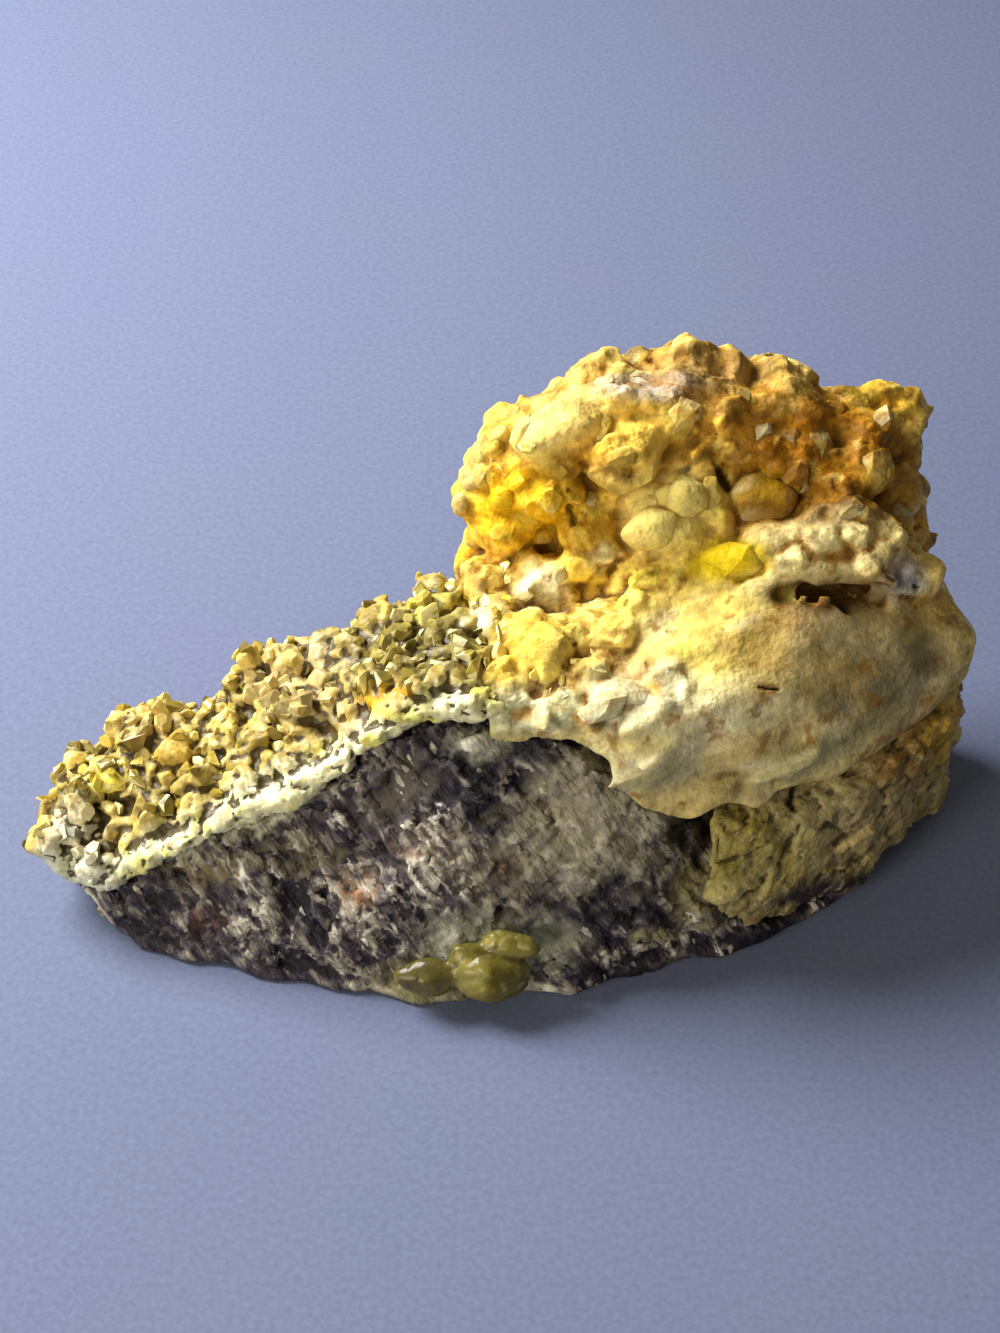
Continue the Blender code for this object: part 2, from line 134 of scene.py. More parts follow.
def remade(obj, voxel_mm, rounds):
    """Everything that overlaps in the object fused to one skin of even cells."""
    cells = obj.modifiers.new("cells", "REMESH")
    cells.mode = "VOXEL"
    cells.voxel_size = voxel_mm * MM
    soften = obj.modifiers.new("soften", "SMOOTH")
    soften.iterations = rounds
    settled(obj)


def settled(obj):
    """The object's modifiers made part of its mesh."""
    graph = bpy.context.evaluated_depsgraph_get()
    mesh = bpy.data.meshes.new_from_object(obj.evaluated_get(graph))
    old = obj.data
    obj.modifiers.clear()
    obj.data = mesh
    bpy.data.meshes.remove(old)


def hull(bm, points):
    """The closed skin stretched round some points, without the points left over inside it."""
    made = bmesh.ops.convex_hull(bm, input=points)
    loose = {v for v in made["geom_interior"] + made["geom_unused"]
             if isinstance(v, bmesh.types.BMVert)}
    bmesh.ops.delete(bm, geom=list(loose), context="VERTS")


def add_lumps(obj, lumps, seed):
    """Lumps set on the skin where the camera sees a place, for the next remake to fuse.

    Each is a place in the frame, half its width and height in frame units, how far it stands
    out in millimetres, its turn in degrees, and its number of corners, or 0 for a round one."""
    chance = random.Random(seed)
    skin = skin_tree_of(obj)
    bm = bmesh.new()
    bm.from_mesh(obj.data)
    tint = bm.verts.layers.float.get("tint") or bm.verts.layers.float.new("tint")
    for across, down, wide, tall, rise, turn, corners in lumps:
        place, normal = seen(skin, across, down)
        along = (Vector((1, 0, 0)) - normal * normal.x).normalized()
        along.rotate(Matrix.Rotation(math.radians(turn), 3, normal))
        thick = 0.08 * min(wide, tall) * MM
        axes = Matrix((along * wide * UNIT_MM * MM, normal.cross(along) * tall * UNIT_MM * MM,
                       normal * thick)).transposed()
        middle = place + normal * (rise * MM - thick)
        own = chance.uniform(0.3, 1.0)
        if corners == 0:
            made = bmesh.ops.create_icosphere(bm, subdivisions=3, radius=1.0)
            for vert in made["verts"]:
                swell = (1 + 0.05 * math.sin(5 * vert.co.x + across)
                         + 0.05 * math.sin(6 * vert.co.y + down))
                vert.co = axes @ (vert.co * swell) + middle
                vert[tint] = own
                for face in vert.link_faces:
                    face.smooth = True
            continue
        points = []
        for k in range(corners):
            height = 1 - (2 * k + 1) / corners
            angle = k * 2.4 + chance.uniform(-0.4, 0.4)
            flat = math.sqrt(1 - height * height)
            out = Vector((math.cos(angle) * flat, math.sin(angle) * flat, height))
            out = out * chance.uniform(0.92, 1.2)
            points.append(bm.verts.new(axes @ out + middle))
            points[-1][tint] = own
        hull(bm, points)
    bm.to_mesh(obj.data)
    bm.free()


def nudged(obj, skin, nudges):
    """The skin pulled a little way across the frame, to where its outline should run.

    Each pull is a place in the frame, half its width and height in frame units, how deep it
    reaches, and how far it goes to the right and up, these three in millimetres."""
    spots = places(obj)
    moved = spots.copy()
    for across, down, wide, tall, deep, right, up in nudges:
        pull = np.array([right, up * SLOPE, up * SLOPE])
        moved += blot(spots, skin, across, down, wide, tall, 0, 0.9, deep)[:, None] * pull
    obj.data.vertices.foreach_set("co", (moved * MM).ravel())


def chipped(obj, wave_mm, height_mm, triangles):
    """The skin ruffled, then broken into that many flat chips."""
    ruffle = obj.modifiers.new("ruffle", "DISPLACE")
    ruffle.texture = bpy.data.textures.new("ruffle", "CLOUDS")
    ruffle.texture.noise_scale = wave_mm * MM
    ruffle.texture.noise_depth = 1
    ruffle.texture_coords = "LOCAL"
    ruffle.strength = height_mm * MM
    chips = obj.modifiers.new("chips", "DECIMATE")
    chips.ratio = triangles / (2 * len(obj.data.polygons))
    settled(obj)


def chips_of(obj, seed):
    """The faces of a skin, a number of its own from 0 to 1 for each, and its lump's tint."""
    mesh = obj.data
    starts, corners = np.empty(len(mesh.polygons), int), np.empty(len(mesh.loops), int)
    mesh.polygons.foreach_get("loop_start", starts)
    mesh.loops.foreach_get("vertex_index", corners)
    tints = np.empty(len(mesh.vertices))
    mesh.attributes["tint"].data.foreach_get("value", tints)
    tints = tints[corners[starts]]
    numbers = np.random.default_rng(seed).random(len(starts))
    return skin_tree_of(obj), numbers, np.where(tints > 0, tints, 0.5)


def store_chips(obj, chips):
    """The number and the tint of the face each vertex came from, kept as "facet" and "lump"."""
    skin, numbers, tints = chips
    faces = [skin.find_nearest(vert.co)[2] for vert in obj.data.vertices]
    store(obj, "facet", numbers[faces])
    store(obj, "lump", tints[faces])


def places(obj):
    """Every vertex as a row of millimetres."""
    flat = np.empty(len(obj.data.vertices) * 3)
    obj.data.vertices.foreach_get("co", flat)
    return flat.reshape(-1, 3) / MM


def store(obj, name, values):
    """A number from 0 to 1 kept by name at each vertex, or one number at them all."""
    layer = obj.data.attributes.new(name, "FLOAT", "POINT")
    values = np.broadcast_to(np.clip(values, 0, 1), len(obj.data.vertices))
    layer.data.foreach_set("value", values.astype(np.float32))


def step(low, high, values):
    """0 up to the low end, 1 from the high end, and a smooth rise between."""
    share = np.clip((values - low) / (high - low), 0, 1)
    return share * share * (3 - 2 * share)


MARK_DEPTH = 0.14  # how deep a mark reaches, in millimetres for each frame unit of its half width


def blot(spots, skin, across, down, wide, tall, turn=0, soft=0.3, deep=None):
    """1 in an ellipse of the frame about what is seen at its middle, so deep, and 0 outside."""
    centre = leaned(np.array(seen(skin, across, down)[0]) / MM)[0]
    away = leaned(spots) - centre
    c, s = math.cos(math.radians(turn)), math.sin(math.radians(turn))
    x, y = away[:, 0] * c + away[:, 1] * s, away[:, 1] * c - away[:, 0] * s
    deep = deep or max(wide, tall) * MARK_DEPTH
    share = np.sqrt((x / wide * UNITS_PER_MM) ** 2 + (y / tall * UNITS_PER_MM) ** 2
                    + (away[:, 2] / deep) ** 2)
    return 1 - step(1 - soft, 1 + soft, share)


def furrow(spots, skin, line, width_mm):
    """1 along a line through places in the frame, fading out at its width."""
    corners = [np.array(seen(skin, *place)[0]) / MM for place in line]
    nearest = np.full(len(spots), 1e9)
    for a, b in zip(corners[:-1], corners[1:]):
        share = np.clip((spots - a) @ (b - a) / ((b - a) @ (b - a)), 0, 1)
        away = np.linalg.norm(spots - a - share[:, None] * (b - a), axis=1)
        nearest = np.minimum(nearest, away)
    return 1 - step(0.3 * width_mm, width_mm, nearest)


def add(tree, kind, sockets=None, **settings):
    """A node with its settings, and each socket given a value or a link."""
    made = tree.nodes.new(kind)
    for key, value in settings.items():
        setattr(made, key, value)
    for key, value in (sockets or {}).items():
        if isinstance(value, bpy.types.NodeSocket):
            tree.links.new(value, made.inputs[key])
        else:
            made.inputs[key].default_value = value
    return made


def maths(tree, operation, *values):
    return add(tree, "ShaderNodeMath", dict(enumerate(values)), operation=operation).outputs[0]


def plus(tree, base, value, share):
    """The base with that share of the value added."""
    return maths(tree, "MULTIPLY_ADD", value, share, base)


def vectors(tree, operation, *values, scale=None):
    sockets = dict(enumerate(values))
    if scale is not None:
        sockets["Scale"] = scale
    made = add(tree, "ShaderNodeVectorMath", sockets, operation=operation)
    return made.outputs["Value" if operation in ("LENGTH", "DOT_PRODUCT") else "Vector"]


def turned(tree, vector, axis, angle):
    return add(tree, "ShaderNodeVectorRotate", {
        "Vector": vector, "Axis": axis, "Angle": angle}).outputs[0]


def noise(tree, where, scale, detail, output="Fac"):
    return add(tree, "ShaderNodeTexNoise", {
        "Vector": where, "Scale": scale, "Detail": detail}).outputs[output]


def span(tree, value, low, high, to_low=0.0, to_high=1.0):
    """A value carried from one range to another and held inside it."""
    return add(tree, "ShaderNodeMapRange", {
        "Value": value, "From Min": low, "From Max": high,
        "To Min": to_low, "To Max": to_high}).outputs[0]


def noted(tree, skin, name, value, domain="POINT"):
    """A number kept by name on a skin's points or faces, or on each shape set on it."""
    return add(tree, "GeometryNodeStoreNamedAttribute", {
        "Geometry": skin, "Name": name, "Value": value},
        data_type="FLOAT", domain=domain).outputs[0]


def skin_nodes(name, numbers, **others):
    """A node tree that takes a skin, numbers and other inputs by name, and gives the skin back."""
    tree = bpy.data.node_groups.new(name, "GeometryNodeTree")
    inputs = {"Skin": "Geometry", **dict.fromkeys(numbers, "Float"), **others}
    for label, kind in inputs.items():
        tree.interface.new_socket(label, in_out="INPUT", socket_type="NodeSocket" + kind)
    tree.interface.new_socket("Skin", in_out="OUTPUT", socket_type="NodeSocketGeometry")
    return tree, add(tree, "NodeGroupInput").outputs


RIGHT, AHEAD, MIDDLE = (1.0, 0.0, 0.0), (0.0, 0.0, 1.0), (0.5, 0.5, 0.5)


def relief_tree():
    """Raises facets and domes on a skin along its normals, and stores how hollow each place is.

    Facets are flat cells tilted at random, and domes are rounded cells with creases between.
    The attributes "faceted", "domed" and "carved" say how strongly each acts at a vertex, and
    one that isn't stored doesn't act."""
    tree, given = skin_nodes("skin relief", (
        "Facet pitch", "Facet height", "Grain pitch", "Grain height", "Dome pitch",
        "Dome height", "Stretch", "Slant", "Hollow depth"), Material="Material")
    place = add(tree, "GeometryNodeInputPosition").outputs[0]
    wobble = vectors(tree, "SUBTRACT", noise(tree, place, 350.0, 2.0, "Color"), MIDDLE)
    wobble = vectors(tree, "SCALE", wobble, scale=1.4 * MM)
    facing = turned(tree, vectors(tree, "ADD", place, wobble), RIGHT, -TILT)
    drawn = turned(tree, facing, AHEAD, given["Slant"])
    drawn = vectors(tree, "MULTIPLY", drawn, add(tree, "ShaderNodeCombineXYZ", {
        "X": given["Stretch"], "Y": 1.0, "Z": 1.0}).outputs[0])

    def cells(where, pitch):
        scaled = vectors(tree, "SCALE", where, scale=maths(tree, "DIVIDE", 1.0, pitch))
        cell = add(tree, "ShaderNodeTexVoronoi", {"Vector": scaled, "Scale": 1.0})
        return scaled, cell.outputs

    def tilted(kind):
        scaled, cell = cells(drawn, given[kind + " pitch"])
        lean = vectors(tree, "SUBTRACT", cell["Color"], MIDDLE)
        away = vectors(tree, "SUBTRACT", scaled, cell["Position"])
        slope = vectors(tree, "DOT_PRODUCT", lean, away)
        return times(tree, slope, 2.0, given[kind + " height"])

    def rounded():
        away = cells(facing, given["Dome pitch"])[1]["Distance"]
        fall = maths(tree, "MULTIPLY", away, maths(tree, "MULTIPLY", away, 1.7))
        return times(tree, maths(tree, "SUBTRACT", 0.5, fall), given["Dome height"])

    def weight(name):
        return add(tree, "GeometryNodeInputNamedAttribute", {
            "Name": name}, data_type="FLOAT").outputs["Attribute"]

    facets = maths(tree, "ADD", tilted("Facet"), tilted("Grain"))
    rise = maths(tree, "ADD", maths(tree, "MULTIPLY", facets, weight("faceted")),
                 maths(tree, "MULTIPLY", rounded(), weight("domed")))
    rise = maths(tree, "SUBTRACT", rise, maths(tree, "MULTIPLY", weight("carved"), 1.0 * MM))
    normal = add(tree, "GeometryNodeInputNormal").outputs[0]
    moved = add(tree, "GeometryNodeSetPosition", {
        "Geometry": given["Skin"],
        "Offset": vectors(tree, "SCALE", normal, scale=rise)}).outputs[0]
    around = add(tree, "GeometryNodeBlurAttribute", {
        "Value": place, "Iterations": 14}, data_type="FLOAT_VECTOR").outputs[0]
    sunk = vectors(tree, "DOT_PRODUCT", vectors(tree, "SUBTRACT", around, place), normal)
    reach = given["Hollow depth"]
    hollow = span(tree, sunk, maths(tree, "MULTIPLY", reach, -1.0), reach)
    kept = noted(tree, moved, "hollow", hollow)
    painted = add(tree, "GeometryNodeSetMaterial", {
        "Geometry": kept, "Material": given["Material"]}).outputs[0]
    smooth = add(tree, "GeometryNodeSetShadeSmooth", {"Geometry": painted}).outputs[0]
    plain = add(tree, "GeometryNodeRealizeInstances", {"Geometry": smooth}).outputs[0]
    add(tree, "NodeGroupOutput", {"Skin": plain})
    return tree


def run_tree(obj, tree, values):
    """The tree applied to the object as a modifier, with its named inputs set."""
    modifier = obj.modifiers.new(tree.name, "NODES")
    modifier.node_group = tree
    for item in tree.interface.items_tree:
        if item.in_out == "INPUT" and item.name in values:
            modifier[item.identifier] = values[item.name]
    settled(obj)


def new_material(name, roughness, waxy=0.0, depth_mm=1.0):
    """A material, its tree and its shader. Waxy is how much light passes in under the skin."""
    made = bpy.data.materials.new(name)
    made.use_nodes = True
    shader = made.node_tree.nodes["Principled BSDF"]
    shader.inputs["Roughness"].default_value = roughness
    shader.inputs["Specular IOR Level"].default_value = 0.35
    shader.inputs["Subsurface Weight"].default_value = waxy
    shader.inputs["Subsurface Radius"].default_value = (1.0, 0.82, 0.3)
    shader.inputs["Subsurface Scale"].default_value = depth_mm * MM
    return made, made.node_tree, shader


def axes_of(tree, reach_mm, scale):
    """Object coordinates, the same turned to the camera's axes, and those with wandering edges."""
    place = add(tree, "ShaderNodeTexCoord").outputs["Object"]
    facing = turned(tree, place, RIGHT, -TILT)
    push = vectors(tree, "SUBTRACT", noise(tree, place, scale, 4.0, "Color"), MIDDLE)
    push = vectors(tree, "SCALE", push, scale=2 * reach_mm * MM)
    return place, facing, vectors(tree, "ADD", facing, push)


def drawn_out(tree, facing, slant, stretch):
    """The camera-wise axes stretched along a direction in the frame, for streaks."""
    return vectors(tree, "MULTIPLY", turned(tree, facing, AHEAD, math.radians(-slant)),
                   (stretch, 1.0, 1.0))


def patch(tree, where, skin, across, down, wide, tall, turn=0, soft=0.4):
    """1 in a wandering ellipse of the frame about what is seen at its middle, and 0 outside."""
    centre = leaned(seen(skin, across, down)[0])[0]
    away = vectors(tree, "SUBTRACT", where, tuple(centre))
    if turn:
        away = turned(tree, away, AHEAD, math.radians(-turn))
    reach = (wide * UNIT_MM * MM, tall * UNIT_MM * MM, max(wide, tall) * MARK_DEPTH * MM)
    share = vectors(tree, "LENGTH", vectors(tree, "MULTIPLY", away, tuple(1 / r for r in reach)))
    return span(tree, share, 1 + soft, 1 - soft)


def times(tree, *factors):
    product = factors[0]
    for factor in factors[1:]:
        product = maths(tree, "MULTIPLY", product, factor)
    return product


def over(tree, below, above, *masks):
    """One colour laid over another where all the masks are 1."""
    mixed = add(tree, "ShaderNodeMix", {0: times(tree, *masks)}, data_type="RGBA")
    for index, colour in ((6, below), (7, above)):
        if isinstance(colour, bpy.types.NodeSocket):
            tree.links.new(colour, mixed.inputs[index])
        else:
            mixed.inputs[index].default_value = (*colour, 1.0)
    return mixed.outputs[2]


def stained(tree, where, skin, colour, stains):
    """A colour with stains laid over it one by one; some tables lay painted light and shade the
    same way.

    Each is a place in the frame, half its width and height, its turn, colour and strength."""
    for across, down, wide, tall, turn, stain, strength in stains:
        mask = patch(tree, where, skin, across, down, wide, tall, turn)
        colour = over(tree, colour, stain, mask, strength)
    return colour


def shaded(tree, colour, value):
    """The colour made that many times as bright."""
    if not isinstance(colour, bpy.types.NodeSocket):
        colour = (*colour, 1.0)
    return add(tree, "ShaderNodeHueSaturation", {"Color": colour, "Value": value}).outputs[0]


def mottle(tree, where, scale, strength, detail=5.0, level=1.0):
    """A factor that wanders about 1, or about another level, by that strength."""
    wander = maths(tree, "SUBTRACT", noise(tree, where, scale, detail), 0.5)
    return plus(tree, level, wander, 2 * strength)


def specks(tree, where, scale, low, high, detail=2.0):
    """Noise pushed to a mask of scattered flecks."""
    return span(tree, noise(tree, where, scale, detail), low, high)


def grains_of(tree, where, pitch_mm):
    """A number of its own from 0 to 1 for every grain of about that size."""
    cell = add(tree, "ShaderNodeTexVoronoi", {"Vector": where, "Scale": 1 / (pitch_mm * MM)})
    return add(tree, "ShaderNodeSeparateXYZ", {0: cell.outputs["Color"]}).outputs[0]


def ramp_of(tree, value, colours):
    """A ramp through colours, each at its own place along it."""
    ramp = add(tree, "ShaderNodeValToRGB", {"Fac": value})
    stops = ramp.color_ramp.elements
    stops.remove(stops[1])
    for index, (position, colour) in enumerate(colours):
        stop = stops[0] if index == 0 else stops.new(position)
        stop.position = position
        stop.color = (*colour, 1.0)
    return ramp.outputs[0]


def attribute(tree, name):
    return add(tree, "ShaderNodeAttribute", attribute_name=name).outputs["Fac"]


def hollow_shade(tree, low, high):
    """A mask of the hollows, from so deep to so deep, where shade is painted into the colour."""
    return span(tree, attribute(tree, "hollow"), low, high)


def facets_of(tree, where, pitch_mm):
    """The height of little flat facets of about that size, each tilted its own way."""
    scaled = vectors(tree, "SCALE", where, scale=1 / (pitch_mm * MM))
    cell = add(tree, "ShaderNodeTexVoronoi", {"Vector": scaled, "Scale": 1.0}).outputs
    lean = vectors(tree, "SUBTRACT", cell["Color"], MIDDLE)
    return vectors(tree, "DOT_PRODUCT", lean, vectors(tree, "SUBTRACT", scaled, cell["Position"]))


def finished(tree, shader, colour, height, depth_mm):
    """The shader given its colour, and a fine relief of that depth."""
    tree.links.new(colour, shader.inputs["Base Color"])
    bump = add(tree, "ShaderNodeBump", {
        "Height": height, "Distance": depth_mm * MM, "Strength": 1.0})
    tree.links.new(bump.outputs[0], shader.inputs["Normal"])


def own_piece(obj, name, node):
    """The finished skin shown in place of its node."""
    obj.name = name
    obj.data.name = name
    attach(obj, "root")
    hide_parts(node)


# the rock's shades from its darkest grains to quartz
ROCK_SHADES = [
    (0.0, (0.010, 0.008, 0.015)), (0.28, (0.034, 0.027, 0.040)), (0.45, (0.12, 0.10, 0.105)),
    (0.6, (0.26, 0.24, 0.19)), (0.78, (0.52, 0.48, 0.40)), (1.0, (0.90, 0.87, 0.80))]
# place, half width, half height, turn, colour and strength of the thin coats on the rock, and of
# one patch of painted shade
ROCK_COATS_AND_SHADE = [
    (575, 830, 100, 46, 25, (0.46, 0.42, 0.30), 0.85),
    (640, 845, 80, 40, 25, (0.36, 0.33, 0.24), 0.85),
    (500, 945, 68, 32, 0, (0.52, 0.53, 0.40), 0.95),
    (480, 741, 25, 14, 10, (0.62, 0.62, 0.48), 0.9), (655, 940, 26, 10, 0, (0.60, 0.55, 0.28), 0.7),
    (705, 895, 34, 34, 30, (0.30, 0.26, 0.11), 0.8),
    (400, 790, 50, 20, 40, (0.20, 0.17, 0.12), 0.5), (268, 815, 48, 9, 24, (0.82, 0.80, 0.60), 1.0),
    (190, 848, 30, 6, 26, (0.82, 0.80, 0.62), 0.9), (585, 785, 44, 40, 30, (0.36, 0.32, 0.22), 0.8),
    (425, 985, 50, 22, 0, (0.26, 0.24, 0.08), 0.7),
    # painted shade: the near-black patch at 694, 830 fills the opening under the ledge's lip
    (694, 830, 32, 14, 20, (0.016, 0.011, 0.008), 1.0),
    (700, 856, 20, 6, 80, (0.016, 0.011, 0.008), 1.0)]
# place, half width, half height, turn, and how much lighter or darker the rock is there
ROCK_LIGHTER = [
    (470, 748, 110, 38, 12, -0.26), (400, 790, 60, 30, 40, -0.16), (690, 870, 50, 50, 0, 0.04),
    (700, 955, 110, 14, 10, -0.3), (640, 900, 90, 26, 10, -0.08), (520, 875, 30, 16, 0, -0.3),
    (215, 925, 22, 14, 0, -0.2), (250, 900, 90, 30, -30, 0.08), (330, 850, 60, 22, -30, 0.14),
    (440, 850, 40, 24, -40, 0.16), (400, 900, 60, 20, -30, 0.06), (480, 820, 30, 18, 0, -0.2),
    (160, 900, 40, 26, -40, -0.12)]
# place, half width, half height and colour of the rusty grains
ROCK_RUST = [
    (358, 892, 18, 16, (0.50, 0.27, 0.13)), (515, 872, 22, 14, (0.16, 0.05, 0.035)),
    (210, 925, 18, 12, (0.14, 0.05, 0.025)), (205, 868, 40, 18, (0.24, 0.19, 0.08)),
    (300, 860, 50, 18, (0.25, 0.21, 0.12)), (430, 850, 40, 22, (0.22, 0.15, 0.09))]
# place, half width, half height, height above the skin, turn and corners of what stands out
ROCK_LUMPS = [
    (480, 741, 26, 15, 1.1, 12, 0), (655, 940, 24, 11, 0.6, 0, 10), (515, 905, 30, 14, 0.4, 10, 9),
    (300, 880, 24, 12, 0.5, 30, 9), (400, 830, 26, 14, 0.5, 20, 9), (560, 885, 26, 14, 0.5, 20, 9)]


def rock_material(skin):
    made, tree, shader = new_material("dark_host_rock", roughness=0.6)
    place, facing, where = axes_of(tree, reach_mm=1.6, scale=320.0)
    streaked = drawn_out(tree, facing, slant=-52, stretch=0.35)
    level = maths(tree, "MULTIPLY_ADD", grains_of(tree, streaked, 0.6), 0.34, -0.12)
    level = plus(tree, level, specks(tree, streaked, 1100.0, 0.36, 0.64, 4.0), 0.26)
    level = plus(tree, level, specks(tree, streaked, 380.0, 0.42, 0.58, 4.0), 0.30)
    level = plus(tree, level, specks(tree, where, 190.0, 0.42, 0.58, 4.0), 0.24)
    for across, down, wide, tall, turn, lift in ROCK_LIGHTER:
        level = plus(tree, level, patch(tree, where, skin, across, down, wide, tall, turn), lift)
    # painted shade: the rock made darker in its hollows
    level = maths(tree, "SUBTRACT", level, maths(tree, "MULTIPLY", hollow_shade(tree, 0.5, 0.95), 0.30))
    colour = ramp_of(tree, level, ROCK_SHADES)
    for across, down, wide, tall, rust in ROCK_RUST:
        mask = patch(tree, where, skin, across, down, wide, tall, 0, 0.6)
        colour = over(tree, colour, rust, mask, specks(tree, place, 900.0, 0.4, 0.62, 4.0), 0.85)
    brushed = drawn_out(tree, facing, slant=42, stretch=0.3)
    for across, down, wide, tall, turn, coat_and_shade, strength in ROCK_COATS_AND_SHADE:
        coat_and_shade = shaded(tree, coat_and_shade, mottle(tree, brushed, 900.0, 0.9))
        mask = patch(tree, where, skin, across, down, wide, tall, turn)
        colour = over(tree, colour, coat_and_shade, mask,
                      specks(tree, brushed, 520.0, 0.30, 0.55, 5.0), strength)
    # pale flecks on some grains, which also shine through a lower roughness: the grains' own pale
    # colour with a painted glint
    sparkle = times(tree, span(tree, grains_of(tree, streaked, 0.5), 0.95, 0.97),
                    specks(tree, place, 260.0, 0.5, 0.6))
    colour = over(tree, colour, (0.80, 0.76, 0.66), sparkle, 0.7)
    tree.links.new(span(tree, sparkle, 0.0, 1.0, 0.6, 0.25), shader.inputs["Roughness"])
    finished(tree, shader, colour, noise(tree, streaked, 1500.0, 5.0), depth_mm=0.55)
    return made


RELIEF = relief_tree()
rock = closed_copy("host_rock", voxel_mm=0.6, rounds=3)
rock_skin = skin_tree_of(rock)
add_lumps(rock, ROCK_LUMPS, seed=3)
remade(rock, voxel_mm=0.36, rounds=2)
spots = places(rock)
off_base = step(0.3, 2.0, spots[:, 2])
lens = blot(spots, rock_skin, 480, 741, 24, 13, 10)
store(rock, "faceted", off_base * (1 - 0.8 * lens))
store(rock, "domed", 0.4 * off_base)
store(rock, "carved", 0.3 * off_base)
run_tree(rock, RELIEF, {
    "Facet pitch": 2.4 * MM, "Facet height": 0.85 * MM, "Grain pitch": 1.0 * MM,
    "Grain height": 0.45 * MM, "Dome pitch": 3.0 * MM, "Dome height": 0.3 * MM, "Stretch": 0.6,
    "Slant": math.radians(52), "Hollow depth": 0.14 * MM, "Material": rock_material(rock_skin)})
own_piece(rock, "dark_rock_wedge", "host_rock")

# ---------------------------------------------------------------- crystal crust
# A crust a few millimetres thick grown down the rock's slope: stubby resinous crystals, olive to
# honey, packed on each other over a bed whose hollows are painted dark as shade, with the crust's
# broken edge showing pale in front.

# the lower edge of the broken rim, from the tip up to the growth
RIM = [
    (56, 866), (88, 886), (110, 884), (160, 852), (215, 828), (260, 808), (312, 786), (360, 750),
    (400, 726), (440, 710), (495, 703)]
# where the rim widens to a shelf
RIM_SHELF = [(225, 808), (262, 790), (300, 776), (332, 757)]
RIM_MM, SHELF_MM = 3.2, 2.6  # how far each reaches to its sides
# place, half width, half height, height above the bed, turn and corners of the larger crystals
CRUST_LUMPS = [
    (150, 722, 24, 18, 1.0, 20, 12), (128, 740, 18, 15, 0.8, 0, 11), (172, 755, 20, 17, 1.2, 0, 0),
    (110, 782, 18, 13, 1.0, 10, 10), (186, 785, 18, 10, 1.2, 15, 9), (140, 785, 12, 14, 0.9, 60, 9),
    (230, 705, 22, 16, 0.8, 20, 12), (262, 688, 24, 16, 0.9, 25, 12),
    (290, 665, 24, 16, 0.9, 25, 12), (322, 655, 16, 24, 1.2, 20, 0),
    (345, 640, 20, 14, 0.8, 10, 11), (215, 735, 22, 18, 0.9, 0, 12), (255, 730, 20, 20, 1.0, 0, 12),
    (300, 705, 26, 20, 0.9, 0, 0), (330, 700, 16, 14, 0.9, 0, 10), (392, 708, 32, 18, 1.6, 8, 10),
    (365, 680, 16, 14, 1.0, 0, 9), (400, 665, 16, 22, 1.0, 10, 9), (375, 655, 18, 12, 0.9, 0, 9),
    (430, 640, 16, 22, 1.0, -15, 9), (410, 612, 22, 14, 0.9, 30, 11),
    (445, 600, 20, 14, 0.9, 20, 11), (455, 655, 12, 18, 0.8, 0, 9), (462, 622, 14, 16, 0.9, 0, 9),
    (245, 765, 14, 11, 0.9, 0, 9), (270, 760, 11, 15, 0.9, 30, 9), (205, 765, 13, 12, 0.8, 0, 9),
    (160, 810, 16, 11, 0.8, 20, 9), (190, 815, 18, 11, 0.9, 15, 9), (135, 835, 14, 10, 0.8, 0, 9),
    (90, 820, 14, 12, 0.8, 0, 9), (75, 850, 13, 12, 0.7, 0, 9), (105, 860, 15, 10, 0.7, 0, 9),
    (290, 798, 22, 12, 1.2, 20, 0), (255, 806, 20, 11, 1.0, 15, 0), (325, 770, 18, 12, 0.9, 40, 9),
    (225, 815, 16, 9, 0.9, 20, 9), (345, 745, 16, 11, 0.8, 35, 9)]
LARGE_RISE = 1.2  # from this height up, a crystal is left free of smaller ones
# the same for the broken slabs of the rim
RIM_LUMPS = [
    (70, 860, 20, 15, 0.5, 40, 10), (104, 878, 22, 11, 0.5, 10, 10),
    (140, 862, 24, 12, 0.5, 35, 10), (180, 838, 26, 12, 0.6, 30, 11),
    (222, 818, 24, 13, 0.7, 20, 10), (262, 802, 28, 17, 0.9, 20, 11),
    (304, 784, 28, 18, 0.9, 28, 11), (340, 762, 22, 14, 0.7, 45, 10),
    (372, 740, 26, 10, 0.6, 42, 10), (414, 716, 28, 10, 0.6, 25, 10),
    (460, 705, 26, 11, 0.7, 5, 10)]
# the crystals' shades, from the darkest to the palest
CRUST_SHADES = [
    (0.00, (0.12, 0.085, 0.008)), (0.3, (0.36, 0.27, 0.03)), (0.6, (0.58, 0.44, 0.07)),
    (0.85, (0.72, 0.57, 0.14)), (1.0, (0.86, 0.74, 0.32))]
# place, half width, half height, turn, colour and strength of what stands out in the crust
CRUST_STAINS = [
    (172, 755, 22, 19, 0, (0.78, 0.52, 0.08), 0.8), (392, 708, 36, 22, 0, (0.74, 0.39, 0.01), 1.0),
    (110, 782, 18, 12, 0, (0.78, 0.66, 0.08), 0.85),
    (290, 798, 24, 13, 0, (0.78, 0.74, 0.14), 0.85), (255, 808, 22, 11, 0, (0.72, 0.72, 0.34), 0.7),
    (300, 690, 60, 40, 0, (0.66, 0.52, 0.26), 0.5),
    (390, 650, 64, 44, 0, (0.20, 0.165, 0.035), 0.75),
    (450, 640, 34, 50, 0, (0.19, 0.165, 0.045), 0.75),
    (435, 605, 34, 20, 0, (0.66, 0.58, 0.12), 0.7), (75, 850, 30, 46, 0, (0.66, 0.66, 0.58), 0.6),
    (150, 725, 34, 24, 0, (0.72, 0.54, 0.20), 0.6), (322, 655, 14, 22, 0, (0.78, 0.68, 0.42), 0.7)]
